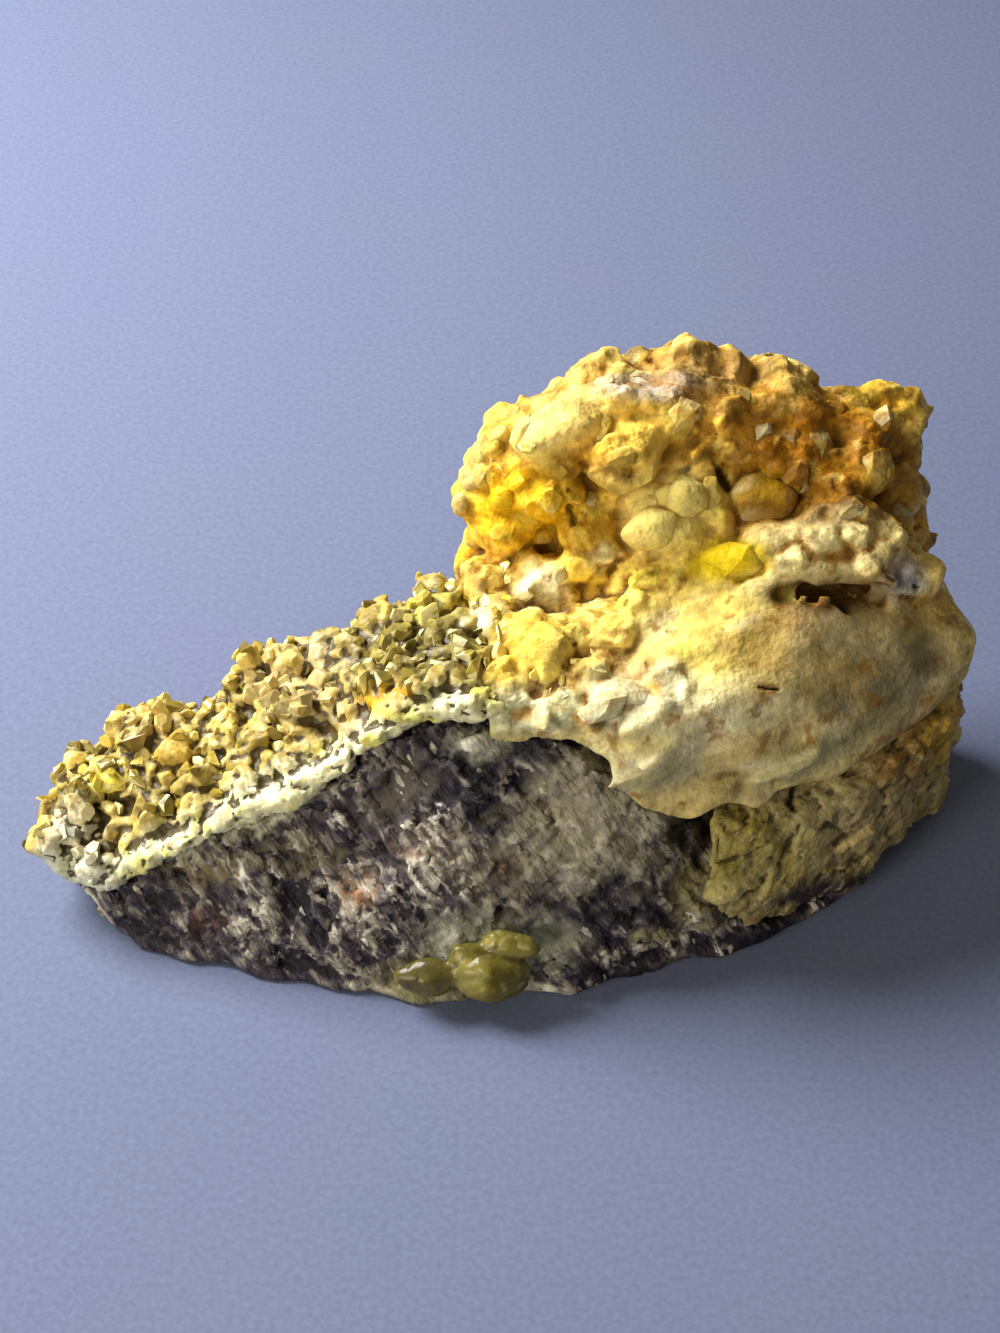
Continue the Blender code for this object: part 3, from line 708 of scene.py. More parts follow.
# the crest lowered beside the growth, and the rim's shelf lowered a little
CRUST_PULLS = [(428, 575, 34, 36, 30, 0.4, -2.6), (275, 798, 60, 26, 8, 0.0, -0.8)]


def crust_colour(tree, place, where, skin, base):
    base = stained(tree, where, skin, base, CRUST_STAINS)
    return over(tree, base, (0.84, 0.74, 0.38), specks(tree, place, 520.0, 0.56, 0.68, 5.0), 0.4)


def bed_material(skin):
    """The bed between the crystals, and the pale broken rim."""
    made, tree, shader = new_material("crust_bed", roughness=0.4, waxy=0.2, depth_mm=0.8)
    place, _, where = axes_of(tree, reach_mm=0.7, scale=500.0)
    colour = over(tree, (0.46, 0.34, 0.07), (0.66, 0.51, 0.15),
                  specks(tree, place, 260.0, 0.4, 0.6, 4.0))
    colour = crust_colour(tree, place, where, skin, colour)
    value = maths(tree, "MULTIPLY_ADD", attribute(tree, "lump"), 0.6, 0.35)
    value = plus(tree, value, attribute(tree, "facet"), 0.45)
    colour = shaded(tree, colour, times(tree, value, mottle(tree, place, 1100.0, 0.7)))
    edge = over(tree, (0.86, 0.82, 0.50), (0.78, 0.72, 0.18), specks(tree, place, 210.0, 0.5, 0.62))
    edge = over(tree, edge, (0.60, 0.62, 0.54), patch(tree, where, skin, 75, 870, 50, 40), 0.7)
    edge = shaded(tree, edge, mottle(tree, place, 800.0, 0.7, 5.0, 0.95))
    colour = over(tree, colour, edge, attribute(tree, "rim"))
    # painted shade: the bed almost black in the hollows between the crystals
    colour = over(tree, colour, (0.05, 0.03, 0.005), hollow_shade(tree, 0.50, 0.74), 0.92)
    height = maths(tree, "ADD", facets_of(tree, place, 0.9), mottle(tree, place, 1500.0, 0.2))
    finished(tree, shader, colour, height, depth_mm=0.4)
    return made


def crystal_material(name, skin, shades, colour_over):
    """Resinous crystals, each with its own tint, and each of its faces paler or darker; a few faces
    are painted pale cream as painted glints.
    """
    made, tree, shader = new_material(name, roughness=0.25, waxy=0.2, depth_mm=0.8)
    place, _, where = axes_of(tree, reach_mm=0.5, scale=500.0)
    colour = colour_over(tree, place, where, skin, ramp_of(tree, attribute(tree, "tint"), shades))
    value = maths(tree, "MULTIPLY_ADD", attribute(tree, "tint"), 0.4, 0.42)
    value = plus(tree, value, maths(tree, "POWER", attribute(tree, "face"), 1.8), 0.7)
    colour = shaded(tree, colour, times(tree, value, mottle(tree, place, 1500.0, 0.5)))
    # painted glints: a few faces painted pale cream
    bright = span(tree, attribute(tree, "face"), 0.88, 0.92)
    colour = over(tree, colour, (0.94, 0.88, 0.58), bright, 0.6)
    finished(tree, shader, colour, noise(tree, place, 1600.0, 3.0), depth_mm=0.1)
    return made


SHAPES, STUBBY = 12, 5  # how many shapes there are of a kind, and how many are whole crystals


def shelf_of(name, shape, seed):
    """A few small shapes to scatter, each about one unit wide and rooted at its origin."""
    chance = random.Random(seed)
    shelf = bpy.data.collections.new(name)
    bpy.context.scene.collection.children.link(shelf)
    for index in range(SHAPES):
        bm = bmesh.new()
        shape(bm, index, chance)
        mesh = bpy.data.meshes.new(f"{name}_{index}")
        bm.to_mesh(mesh)
        bm.free()
        shelf.objects.link(bpy.data.objects.new(mesh.name, mesh))
    return shelf


def crystal_or_grain(bm, index, chance):
    """The first few are stubby crystals of five or six sides, and the others broken grains."""
    if index < STUBBY:
        sides = 6 if index % 2 else 5
        rings = ((-0.4, 0.42), (0.3, 0.5), (0.5, 0.30 + 0.14 * chance.random()))
        slant = (chance.uniform(-0.3, 0.3), chance.uniform(-0.3, 0.3))
        for height, reach in rings:
            for k in range(sides):
                turn = (k + chance.uniform(-0.2, 0.2)) * math.tau / sides
                spread = reach * chance.uniform(0.8, 1.12)
                x, y = math.cos(turn) * spread, math.sin(turn) * spread * 0.8
                bm.verts.new((x, y, height + slant[0] * x + slant[1] * y))
    else:
        long_side = 0.75 if index > 8 else 0.55
        for _ in range(12):
            out = Vector([chance.gauss(0, 1) for _ in range(3)]).normalized()
            bm.verts.new((out.x * long_side, out.y * 0.38, out.z * 0.42))
    hull(bm, bm.verts)
    bmesh.ops.dissolve_limit(bm, angle_limit=math.radians(9), verts=bm.verts, edges=bm.edges)
    bmesh.ops.recalc_face_normals(bm, faces=bm.faces)


def scatter_tree(density):
    """Shapes set on a skin where that attribute is high, at least a spacing apart, made real."""
    tree, given = skin_nodes(density + " scatter", (
        "Spacing", "Smallest", "Largest", "Tallness", "Lean", "Sink"),
        Shapes="Collection", Seed="Int", Material="Material")

    def chosen(kind, low, high, seed, **sockets):
        """A random value of its own for each shape or face. Each kind has sockets of its own."""
        first, result = {"FLOAT_VECTOR": (0, 0), "FLOAT": (2, 1), "INT": (4, 2)}[kind]
        return add(tree, "FunctionNodeRandomValue", {
            first: low, first + 1: high, "Seed": seed, **sockets}, data_type=kind).outputs[result]

    def joined(**axes):
        return add(tree, "ShaderNodeCombineXYZ", axes).outputs[0]

    wanted = add(tree, "GeometryNodeInputNamedAttribute", {
        "Name": density}, data_type="FLOAT").outputs["Attribute"]
    spread = add(tree, "GeometryNodeDistributePointsOnFaces", {
        "Mesh": given["Skin"], "Distance Min": given["Spacing"], "Density Max": 4.0e6,
        "Density Factor": wanted, "Seed": given["Seed"]}, distribute_method="POISSON")
    shapes = add(tree, "GeometryNodeCollectionInfo", {
        "Collection": given["Shapes"], "Separate Children": True,
        "Reset Children": True}).outputs[0]
    lean = chosen("FLOAT_VECTOR", (-1.0, -1.0, -3.1), (1.0, 1.0, 3.1), seed=5)
    lean = vectors(tree, "MULTIPLY", lean, joined(X=given["Lean"], Y=given["Lean"], Z=1.0))
    rotation = add(tree, "FunctionNodeRotateRotation", {
        0: spread.outputs["Rotation"],
        1: add(tree, "FunctionNodeEulerToRotation", {0: lean}).outputs[0]},
        rotation_space="LOCAL").outputs[0]
    share = maths(tree, "POWER", chosen("FLOAT", 0.0, 1.0, seed=7), 1.8)
    size = span(tree, share, 0.0, 1.0, given["Smallest"], given["Largest"])
    squash = chosen("FLOAT_VECTOR", (0.75, 0.75, 0.8), (1.2, 1.2, 1.3), seed=11)
    squash = vectors(tree, "MULTIPLY", squash, joined(X=1.0, Y=1.0, Z=given["Tallness"]))
    standing = add(tree, "GeometryNodeInstanceOnPoints", {
        "Points": spread.outputs["Points"], "Instance": shapes, "Pick Instance": True,
        "Instance Index": chosen("INT", 0, SHAPES - 1, seed=3), "Rotation": rotation,
        "Scale": vectors(tree, "SCALE", squash, scale=size)}).outputs[0]
    standing = add(tree, "GeometryNodeTranslateInstances", {
        "Instances": standing,
        "Translation": vectors(tree, "SCALE", joined(Z=given["Sink"]), scale=-1.0)}).outputs[0]
    standing = noted(tree, standing, "tint", chosen("FLOAT", 0.0, 1.0, seed=13), "INSTANCE")
    real = add(tree, "GeometryNodeRealizeInstances", {"Geometry": standing}).outputs[0]
    face = add(tree, "GeometryNodeInputIndex").outputs[0]
    real = noted(tree, real, "face", chosen("FLOAT", 0.0, 1.0, seed=17, ID=face), "FACE")
    painted = add(tree, "GeometryNodeSetMaterial", {
        "Geometry": real, "Material": given["Material"]}).outputs[0]
    flat = add(tree, "GeometryNodeSetShadeSmooth", {
        "Geometry": painted, "Shade Smooth": False}).outputs[0]
    both = add(tree, "GeometryNodeJoinGeometry")
    tree.links.new(flat, both.inputs[0])
    tree.links.new(given["Skin"], both.inputs[0])
    add(tree, "NodeGroupOutput", {"Skin": both.outputs[0]})
    return tree


def normals_of(obj):
    flat = np.empty(len(obj.data.vertices) * 3)
    obj.data.vertices.foreach_get("normal", flat)
    return flat.reshape(-1, 3)


def tone(obj, name, scale):
    """Smooth noise from 0 to 1 at every vertex, for where small things gather."""
    tree, given = skin_nodes("tone", ())
    place = add(tree, "GeometryNodeInputPosition").outputs[0]
    kept = noted(tree, given["Skin"], name, noise(tree, place, scale, 3.0))
    add(tree, "NodeGroupOutput", {"Skin": kept})
    run_tree(obj, tree, {})
    flat = np.empty(len(obj.data.vertices))
    obj.data.attributes[name].data.foreach_get("value", flat)
    return flat


CRYSTALS = scatter_tree("crystals")
grains = shelf_of("grains", crystal_or_grain, seed=4)
crust = closed_copy("drusy_crust", voxel_mm=0.5, rounds=6)
crust_skin = skin_tree_of(crust)
nudged(crust, crust_skin, CRUST_PULLS)


def crust_parts():
    """At each vertex: how far it faces up, lies in the rim, and lies on a large crystal."""
    spots, normals = places(crust), normals_of(crust)
    upward = step(-0.2, 0.3, normals[:, 2] + 0.6 * np.maximum(normals[:, 1], 0))
    large = np.max([blot(spots, crust_skin, across, down, wide, tall, turn)
                    for across, down, wide, tall, rise, turn, _ in CRUST_LUMPS
                    if rise >= LARGE_RISE], axis=0)
    rim = np.maximum(furrow(spots, crust_skin, RIM, RIM_MM),
                     furrow(spots, crust_skin, RIM_SHELF, SHELF_MM))
    return upward, np.sqrt(rim), large


upward, rim, large = crust_parts()
store(crust, "crystals", upward * (1 - step(0.35, 0.95, rim)) * (1 - large))
add_lumps(crust, CRUST_LUMPS + RIM_LUMPS, seed=5)
run_tree(crust, CRYSTALS, {
    "Shapes": grains, "Spacing": 1.7 * MM, "Smallest": 2.2 * MM, "Largest": 4.2 * MM,
    "Tallness": 0.75, "Lean": 0.5, "Sink": 0.14, "Seed": 2})
chips = chips_of(crust, seed=21)
remade(crust, voxel_mm=0.28, rounds=0)
store_chips(crust, chips)
upward, rim, large = crust_parts()
gathered = step(0.42, 0.54, tone(crust, "gathering", scale=150.0))
store(crust, "rim", rim)
store(crust, "crystals",
      upward * (1 - step(0.1, 0.6, rim)) * (1 - large) * (0.1 + 0.9 * gathered))
store(crust, "faceted", 0.2 + 0.8 * rim)
run_tree(crust, RELIEF, {
    "Facet pitch": 1.5 * MM, "Facet height": 0.35 * MM, "Grain pitch": 0.8 * MM,
    "Grain height": 0.15 * MM, "Stretch": 1.0, "Hollow depth": 0.17 * MM,
    "Material": bed_material(crust_skin)})
run_tree(crust, CRYSTALS, {
    "Shapes": grains, "Spacing": 1.4 * MM, "Smallest": 1.3 * MM, "Largest": 2.8 * MM,
    "Tallness": 0.8, "Lean": 0.6, "Sink": 0.1, "Seed": 5,
    "Material": crystal_material("olive_crystals", crust_skin, CRUST_SHADES, crust_colour)})
own_piece(crust, "crystal_crust", "drusy_crust")

# ---------------------------------------------------------------- amber growth and pale ledge
# One growth: a hump of grape-like amber lumps at the back, a saddle of honey-yellow crystals, and
# in front a smooth cream ledge, broken off along its lower edge. Quartz sits in two places.

# place, half width, half height, height above the skin, turn and corners (0 is round)
HUMP_LUMPS = [
    (478, 452, 14, 17, 0.7, 0, 0), (468, 476, 14, 16, 0.8, 0, 0), (460, 506, 13, 14, 0.7, 0, 0),
    (470, 538, 13, 14, 0.6, 0, 0), (496, 432, 15, 13, 0.6, 20, 0), (515, 410, 14, 11, 0.5, 30, 11),
    (560, 420, 50, 31, 1.2, 18, 0), (604, 428, 9, 22, 1.2, -20, 10),
    (520, 430, 14, 22, 0.7, -25, 11), (480, 478, 13, 12, 0.7, 0, 12), (500, 500, 13, 14, 0.8, 0, 0),
    (520, 482, 14, 11, 0.7, 0, 12), (548, 500, 14, 17, 0.9, 0, 12), (527, 520, 16, 12, 0.8, 0, 0),
    (500, 532, 16, 12, 0.7, 0, 12), (560, 476, 12, 13, 0.7, 0, 12), (590, 505, 18, 22, 0.9, 0, 12),
    (545, 535, 16, 11, 0.7, 0, 0), (640, 432, 32, 28, 0.8, 0, 12), (686, 428, 26, 26, 0.7, 20, 12),
    (665, 398, 26, 12, 0.5, 0, 11), (622, 462, 18, 15, 0.7, 0, 12), (650, 502, 25, 22, 2.4, 0, 16),
    (685, 498, 22, 21, 2.4, 0, 16), (668, 531, 37, 24, 2.6, 0, 20), (757, 503, 37, 31, 2.0, 0, 18),
    (708, 500, 13, 26, 0.5, 0, 12), (878, 478, 24, 28, 0.8, 0, 12), (850, 500, 18, 20, 0.8, 0, 12),
    (893, 430, 20, 30, 0.6, 0, 11), (862, 402, 20, 16, 0.5, 0, 11), (820, 442, 22, 24, 0.6, 0, 12),
    (838, 410, 18, 14, 0.5, 0, 11), (802, 482, 20, 20, 0.6, 0, 12), (788, 440, 20, 20, 0.5, 0, 12),
    (760, 430, 22, 18, 0.5, 0, 12), (745, 395, 18, 12, 0.5, 0, 10), (700, 372, 16, 9, 0.4, 0, 10),
    (640, 375, 24, 9, 0.4, 0, 10), (600, 382, 18, 9, 0.4, 0, 10), (905, 512, 16, 14, 0.7, 0, 0)]
# the same for the saddle's crystals and the ledge's swells and crest
GROWTH_LUMPS = [
    (530, 562, 16, 13, 1.0, 0, 12), (575, 566, 21, 17, 1.3, 0, 0), (604, 556, 14, 13, 1.1, 0, 11),
    (612, 590, 18, 13, 0.9, 20, 11), (493, 580, 16, 12, 0.8, 0, 12), (540, 655, 31, 32, 1.3, 0, 14),
    (494, 640, 17, 15, 1.1, 0, 12), (620, 627, 24, 24, 1.3, 0, 13), (585, 600, 18, 14, 0.9, 0, 11),
    (575, 640, 16, 18, 1.0, 0, 12), (590, 668, 16, 14, 0.9, 0, 11), (488, 708, 22, 14, 0.8, 0, 10),
    (520, 702, 16, 14, 0.8, 30, 9), (542, 714, 20, 18, 0.9, 0, 9), (566, 700, 16, 16, 0.9, 20, 10),
    (582, 712, 15, 14, 0.8, 0, 9), (616, 698, 32, 25, 1.2, 20, 11), (606, 712, 18, 12, 1.5, 10, 9),
    (668, 672, 22, 14, 0.9, 30, 9), (662, 704, 18, 12, 0.9, -20, 9), (684, 690, 12, 16, 0.8, 0, 9),
    (640, 668, 14, 12, 0.8, 0, 9), (688, 612, 44, 28, 1.0, 32, 10), (655, 572, 40, 15, 1.1, 38, 9),
    (727, 560, 33, 16, 1.1, 3, 0), (762, 583, 22, 12, 0.7, 20, 12), (792, 562, 22, 15, 1.1, 20, 12),
    (822, 540, 25, 16, 1.0, 0, 12), (856, 538, 20, 16, 0.9, 0, 12), (884, 552, 14, 14, 0.8, 0, 11),
    (905, 590, 14, 18, 0.8, 30, 9), (918, 584, 11, 13, 0.4, 0, 9), (640, 725, 22, 12, 0.5, 20, 0),
    (700, 652, 46, 28, 0.5, 25, 12), (775, 655, 44, 34, 0.4, 40, 12),
    (760, 715, 64, 28, 0.4, 15, 12), (690, 748, 56, 22, 0.5, 10, 12),
    (850, 660, 50, 34, 0.4, 20, 12), (880, 705, 50, 18, 0.4, 32, 12), (800, 601, 8, 6, 1.2, 0, 9),
    (822, 606, 10, 7, 1.4, 0, 9), (848, 605, 11, 7, 1.6, 0, 9), (872, 598, 9, 6, 1.4, 0, 9),
    (700, 796, 56, 13, 0.7, 4, 11), (650, 776, 40, 14, 0.6, 12, 11),
    (790, 770, 50, 13, 0.5, 22, 11)]
# the same for the smooth lumps laid last, which keep their crisp edges
CRISP_LUMPS = [
    (729, 560, 34, 17, 0.5, 4, 20), (757, 503, 34, 27, 0.6, 0, 0), (648, 528, 28, 20, 0.5, 20, 0),
    (688, 506, 21, 20, 0.5, 0, 0), (664, 496, 16, 14, 0.6, 0, 0), (604, 706, 24, 14, 0.7, 24, 22),
    (634, 690, 20, 13, 0.6, -30, 22)]
# the smooth lumps, which no small crystals grow on: place, half width, half height and turn
SMOOTH_LUMPS = [(560, 418, 50, 34, 18), (757, 503, 34, 30, 0), (668, 512, 30, 34, 0),
                (727, 560, 36, 18, 0)]
# the same, and how calm their skin is
CALM_LUMPS = [(560, 418, 44, 28, 18, 1.0), (757, 503, 30, 26, 0, 1.0), (668, 512, 32, 34, 0, 0.7),
              (727, 560, 30, 14, 0, 1.0)]
# the ledge's lower edge raised, the saddle's left drawn out, the hump's top lowered, the ledge's
# right corner drawn in, the crevice raised, and the ledge's left foot moved to the right
GROWTH_PULLS = [
    (745, 808, 60, 30, 8, 0.0, 2.0), (690, 800, 40, 26, 6, 0.0, 0.8),
    (480, 560, 30, 30, 5, -0.8, 0.0), (590, 372, 60, 54, 30, 0.0, -1.5),
    (500, 432, 54, 54, 30, 0.3, -1.8), (484, 428, 34, 36, 30, 0.2, -0.9),
    (690, 362, 44, 40, 30, 0.0, -0.6), (898, 390, 54, 44, 30, 0.0, -1.0),
    (920, 582, 34, 34, 30, -0.7, -0.6), (845, 608, 66, 28, 9, 0.0, 1.5),
    (610, 748, 22, 24, 4, 1.6, 0.0)]
# the cracks and the crevice, each with its width in millimetres
GROWTH_CRACKS = [
    (0.6, [(700, 450), (714, 467), (729, 487)]), (0.8, [(520, 451), (534, 446), (549, 440)]),
    (0.5, [(568, 490), (571, 506), (573, 524)]), (0.3, [(760, 687), (778, 689)]),
    (0.35, [(672, 474), (688, 468), (700, 459)]),
    (1.5, [(782, 597), (800, 592), (822, 600), (850, 602), (878, 594)]),
    (0.3, [(885, 568), (893, 580), (896, 596)]), (0.25, [(906, 574), (912, 582), (918, 590)])]
BUTTER, HONEY, ORANGE = (0.90, 0.72, 0.20), (0.90, 0.60, 0.07), (0.95, 0.50, 0.012)
BROWN, LEMON, OLIVE = (0.13, 0.06, 0.012), (0.90, 0.68, 0.01), (0.50, 0.42, 0.09)
QUARTZ, WHITE = (0.72, 0.73, 0.74), (0.98, 0.97, 0.68)
# place, half width, half height, turn, colour and strength of each stain, laid in this order, and
# one painted shadow
GROWTH_STAINS_AND_SHADOW = [
    (490, 480, 60, 80, 0, HONEY, 0.9), (520, 508, 62, 42, 0, ORANGE, 0.9),
    (468, 545, 20, 22, 0, ORANGE, 0.6), (470, 455, 18, 44, 0, BUTTER, 0.6),
    (558, 418, 52, 34, 18, BUTTER, 0.95), (600, 505, 34, 30, 0, HONEY, 0.8),
    (585, 450, 26, 20, 0, ORANGE, 0.5), (670, 435, 60, 40, 0, (0.96, 0.62, 0.09), 0.9),
    (650, 386, 48, 13, 0, QUARTZ, 0.75), (712, 365, 56, 20, 15, BROWN, 0.5),
    (745, 410, 40, 34, 0, (0.46, 0.21, 0.01), 0.7), (700, 440, 18, 30, 20, (0.62, 0.30, 0.02), 0.7),
    (800, 460, 60, 60, 0, (0.31, 0.115, 0.002), 0.95),
    (860, 450, 60, 70, 0, (0.31, 0.122, 0.002), 0.95),
    (885, 395, 38, 22, 0, (0.46, 0.30, 0.02), 0.75), (878, 480, 22, 24, 0, (0.70, 0.44, 0.06), 0.6),
    (830, 440, 20, 12, 40, (0.70, 0.48, 0.10), 0.5), (668, 514, 48, 44, 0, (1.0, 0.76, 0.22), 0.95),
    (757, 503, 36, 32, 0, (0.44, 0.25, 0.01), 0.95), (716, 505, 16, 34, 0, HONEY, 0.8),
    (575, 568, 50, 28, 0, (0.94, 0.66, 0.08), 0.9), (540, 590, 24, 26, 0, WHITE, 0.7),
    (604, 556, 16, 14, 0, WHITE, 0.6), (548, 650, 66, 40, 0, (0.87, 0.65, 0.08), 0.9),
    (625, 620, 28, 30, 0, (0.90, 0.64, 0.02), 0.8), (480, 630, 26, 36, 0, OLIVE, 0.6),
    (478, 618, 12, 14, 0, WHITE, 0.8), (780, 700, 200, 130, 15, (0.86, 0.71, 0.31), 0.95),
    (690, 605, 60, 40, 32, (0.85, 0.69, 0.16), 0.95),
    (655, 572, 46, 16, 38, (0.80, 0.64, 0.08), 0.8),
    (710, 645, 60, 40, 25, (0.94, 0.78, 0.18), 0.85),
    (765, 645, 40, 34, 20, (0.70, 0.47, 0.10), 0.7),
    (690, 735, 90, 44, 12, (0.84, 0.78, 0.48), 0.8), (850, 655, 70, 50, 0, (0.54, 0.44, 0.22), 0.8),
    (890, 690, 80, 60, 20, (0.35, 0.30, 0.16), 0.8),
    (790, 765, 80, 18, 20, (0.42, 0.41, 0.21), 0.7), (650, 780, 50, 16, 8, (0.48, 0.45, 0.22), 0.7),
    (625, 775, 20, 30, 0, (0.42, 0.38, 0.22), 0.6), (640, 745, 30, 10, 0, (0.80, 0.64, 0.18), 0.5),
    (800, 622, 40, 10, 0, (0.60, 0.36, 0.12), 0.6), (616, 698, 32, 25, 20, WHITE, 0.9),
    (665, 685, 26, 22, 30, WHITE, 0.7), (653, 690, 8, 9, 30, ORANGE, 0.8),
    # painted shadow: the brown band at 850, 503, under the hump's right side
    (525, 712, 66, 24, 0, (0.62, 0.63, 0.40), 0.9), (850, 503, 56, 15, 8, BROWN, 0.7),
    (815, 552, 75, 32, 10, (0.86, 0.74, 0.36), 0.9), (908, 582, 26, 24, 30, QUARTZ, 0.9),
    (727, 560, 34, 17, 3, LEMON, 1.0), (768, 690, 14, 6, 0, (0.50, 0.22, 0.03), 0.7)]
# the same for the last tints, painted light and painted shade, laid over everything
GROWTH_LAST_LIGHT_AND_SHADE = [
    # partly painted light: the pale lumps at 668, 514 in their own pale yellow, laid last to stand
    # bright
    (668, 514, 46, 42, 0, (1.0, 0.80, 0.24), 0.95), (560, 418, 46, 28, 18, (0.86, 0.67, 0.22), 0.7),
    # partly painted light: the hump's middle at 640, 430 laid last to stand bright
    (640, 430, 44, 30, 0, (1.0, 0.68, 0.12), 0.6), (520, 505, 50, 34, 0, (1.0, 0.62, 0.01), 0.5),
    # painted shade: the dark brown band at 790, 515 under the glassy dome
    (695, 376, 74, 24, 8, (0.42, 0.25, 0.09), 0.4), (790, 515, 56, 9, -8, (0.20, 0.09, 0.012), 0.5),
    (729, 560, 36, 19, 3, (0.94, 0.66, 0.008), 0.9),
    # painted shade: the dark inside the crevice, here and at 790, 596
    (830, 596, 60, 15, 2, (0.19, 0.085, 0.013), 0.95),
    (790, 596, 20, 10, 0, (0.16, 0.09, 0.016), 0.95),
    (600, 722, 10, 7, 30, (0.09, 0.06, 0.02), 0.9), (842, 594, 20, 8, 4, OLIVE, 0.6),
    (797, 594, 14, 8, 0, OLIVE, 0.6), (534, 446, 14, 4, 24, (0.07, 0.025, 0.004), 0.95),
    (700, 460, 20, 4, 30, BROWN, 0.5), (714, 468, 18, 3, -52, BROWN, 0.8),
    (900, 584, 6, 12, 20, (0.03, 0.03, 0.035), 0.7)]
# the shades of the saddle's and the hump's crystals, from the darkest to the palest
HONEY_SHADES = [
    (0.00, (0.50, 0.28, 0.01)), (0.3, (0.74, 0.48, 0.03)), (0.6, (0.90, 0.66, 0.11)),
    (1.0, (0.96, 0.82, 0.34))]


def growth_colour(tree, _, where, skin, base):
    return stained(tree, where, skin, base, GROWTH_STAINS_AND_SHADOW)


def partly(tree, factor, share):
    """The factor where the share is 1, and 1 where it is 0."""
    return plus(tree, 1.0, maths(tree, "SUBTRACT", factor, 1.0), share)


def growth_material(skin):
    made, tree, shader = new_material("amber_growth", roughness=0.35, waxy=0.3, depth_mm=1.2)
    shader.inputs["Specular IOR Level"].default_value = 0.14
    place, facing, where = axes_of(tree, reach_mm=0.8, scale=420.0)
    swept = drawn_out(tree, facing, slant=22, stretch=0.35)
    amber = attribute(tree, "amber")
    smooth = maths(tree, "SUBTRACT", 1.0, amber)

    # the growth's own colour, its stains with one painted shadow, bands, and pale flecks, partly
    # painted highlights on the amber
    colour = over(tree, (0.78, 0.58, 0.16), (0.56, 0.34, 0.06),
                  specks(tree, place, 160.0, 0.4, 0.6, 4.0))
    colour = growth_colour(tree, place, where, skin, colour)
    colour = over(tree, colour, (0.62, 0.44, 0.13),
                  smooth, specks(tree, where, 170.0, 0.48, 0.62, 5.0), 0.6)
    colour = over(tree, colour, (0.94, 0.86, 0.52),
                  smooth, specks(tree, swept, 330.0, 0.52, 0.68, 6.0), 0.6)
    colour = over(tree, colour, (0.98, 0.78, 0.20),
                  specks(tree, place, 480.0, 0.56, 0.68, 5.0), amber, 0.4)

    # each lump and each chip a little lighter or darker, and mottled
    lump = maths(tree, "SUBTRACT", attribute(tree, "lump"), 0.5)
    value = plus(tree, 0.94, lump, plus(tree, 0.12, amber, 0.35))
    facet = maths(tree, "SUBTRACT", attribute(tree, "facet"), 0.5)
    value = plus(tree, value, facet, plus(tree, 0.04, amber, 0.2))
    value = times(tree, value, mottle(tree, swept, 900.0, 0.5), mottle(tree, place, 330.0, 0.5),
                  partly(tree, mottle(tree, place, 620.0, 1.0, 5.0), amber),
                  partly(tree, mottle(tree, where, 110.0, 0.7, 6.0), smooth))
    colour = shaded(tree, colour, value)

    # brown grains, painted shade in the hollows, the cracks, and the last tints, painted light and
    # shade
    colour = over(tree, colour, (0.30, 0.14, 0.02),
                  specks(tree, place, 450.0, 0.58, 0.66, 3.0), 0.7)
    colour = over(tree, colour, (0.44, 0.20, 0.006),
                  hollow_shade(tree, 0.52, 0.76), plus(tree, 0.15, amber, 0.6))
    colour = over(tree, colour, (0.12, 0.055, 0.006), hollow_shade(tree, 0.74, 0.96), 0.85)
    # the cracks and the crevice painted near black; in the wide crevice this is painted shade
    colour = over(tree, colour, (0.05, 0.025, 0.005), attribute(tree, "carved"), 1.7)
    # the last tints, painted light and painted shade, laid over all of it
    colour = stained(tree, where, skin, colour, GROWTH_LAST_LIGHT_AND_SHADE)
    tree.links.new(specks(tree, place, 300.0, 0.75, 0.25, 3.0), shader.inputs["Roughness"])

    height = mottle(tree, place, 1300.0, 0.2, 4.0, 0.0)
    height = plus(tree, height, facets_of(tree, place, 0.7), plus(tree, 0.1, amber, 0.3))
    height = plus(tree, height, facets_of(tree, where, 1.7), plus(tree, 0.3, amber, 0.8))
    height = plus(tree, height, facets_of(tree, swept, 5.5), times(tree, smooth, 1.2))
    height = plus(tree, height, facets_of(tree, where, 3.1), times(tree, smooth, 0.4))
    finished(tree, shader, colour, height, depth_mm=0.7)
    return made


def pebble(bm, _, chance):
    """A rounded lump, a little uneven."""
    bmesh.ops.create_icosphere(bm, subdivisions=2, radius=0.5)
    for vert in bm.verts:
        vert.co *= chance.uniform(0.93, 1.07)
        vert.co.z *= 0.8


PEBBLES = scatter_tree("pebbles")
pebbles = shelf_of("pebbles", pebble, seed=12)
growth = closed_copy("botryoidal_mass", voxel_mm=0.45, rounds=2)
growth_skin = skin_tree_of(growth)
nudged(growth, growth_skin, GROWTH_PULLS)
chipped(growth, wave_mm=4.0, height_mm=1.0, triangles=5000)
remade(growth, voxel_mm=0.5, rounds=1)


def growth_parts():
    """Each vertex's place, and how far it lies in the ledge, the saddle and the ledge's crest."""
    spots = places(growth)
    ledge = np.maximum(blot(spots, growth_skin, 790, 700, 190, 115, 15, 0.15),
                       blot(spots, growth_skin, 690, 640, 60, 60, 25))
    saddle = blot(spots, growth_skin, 545, 630, 100, 70, 0, 0.25) * (1 - ledge)
    crest = blot(spots, growth_skin, 815, 550, 75, 34, 10)
    return spots, ledge, saddle, crest


def crystal_ground(spots):
    """1 behind the ledge, except in the low corner on the right, where no small crystals grow."""
    x, y, z = spots.T
    corner = step(28, 32, x) * step(-31, -28, -z) * step(-10, -6, -y)
    return step(-9, -6, y) * (1 - corner)


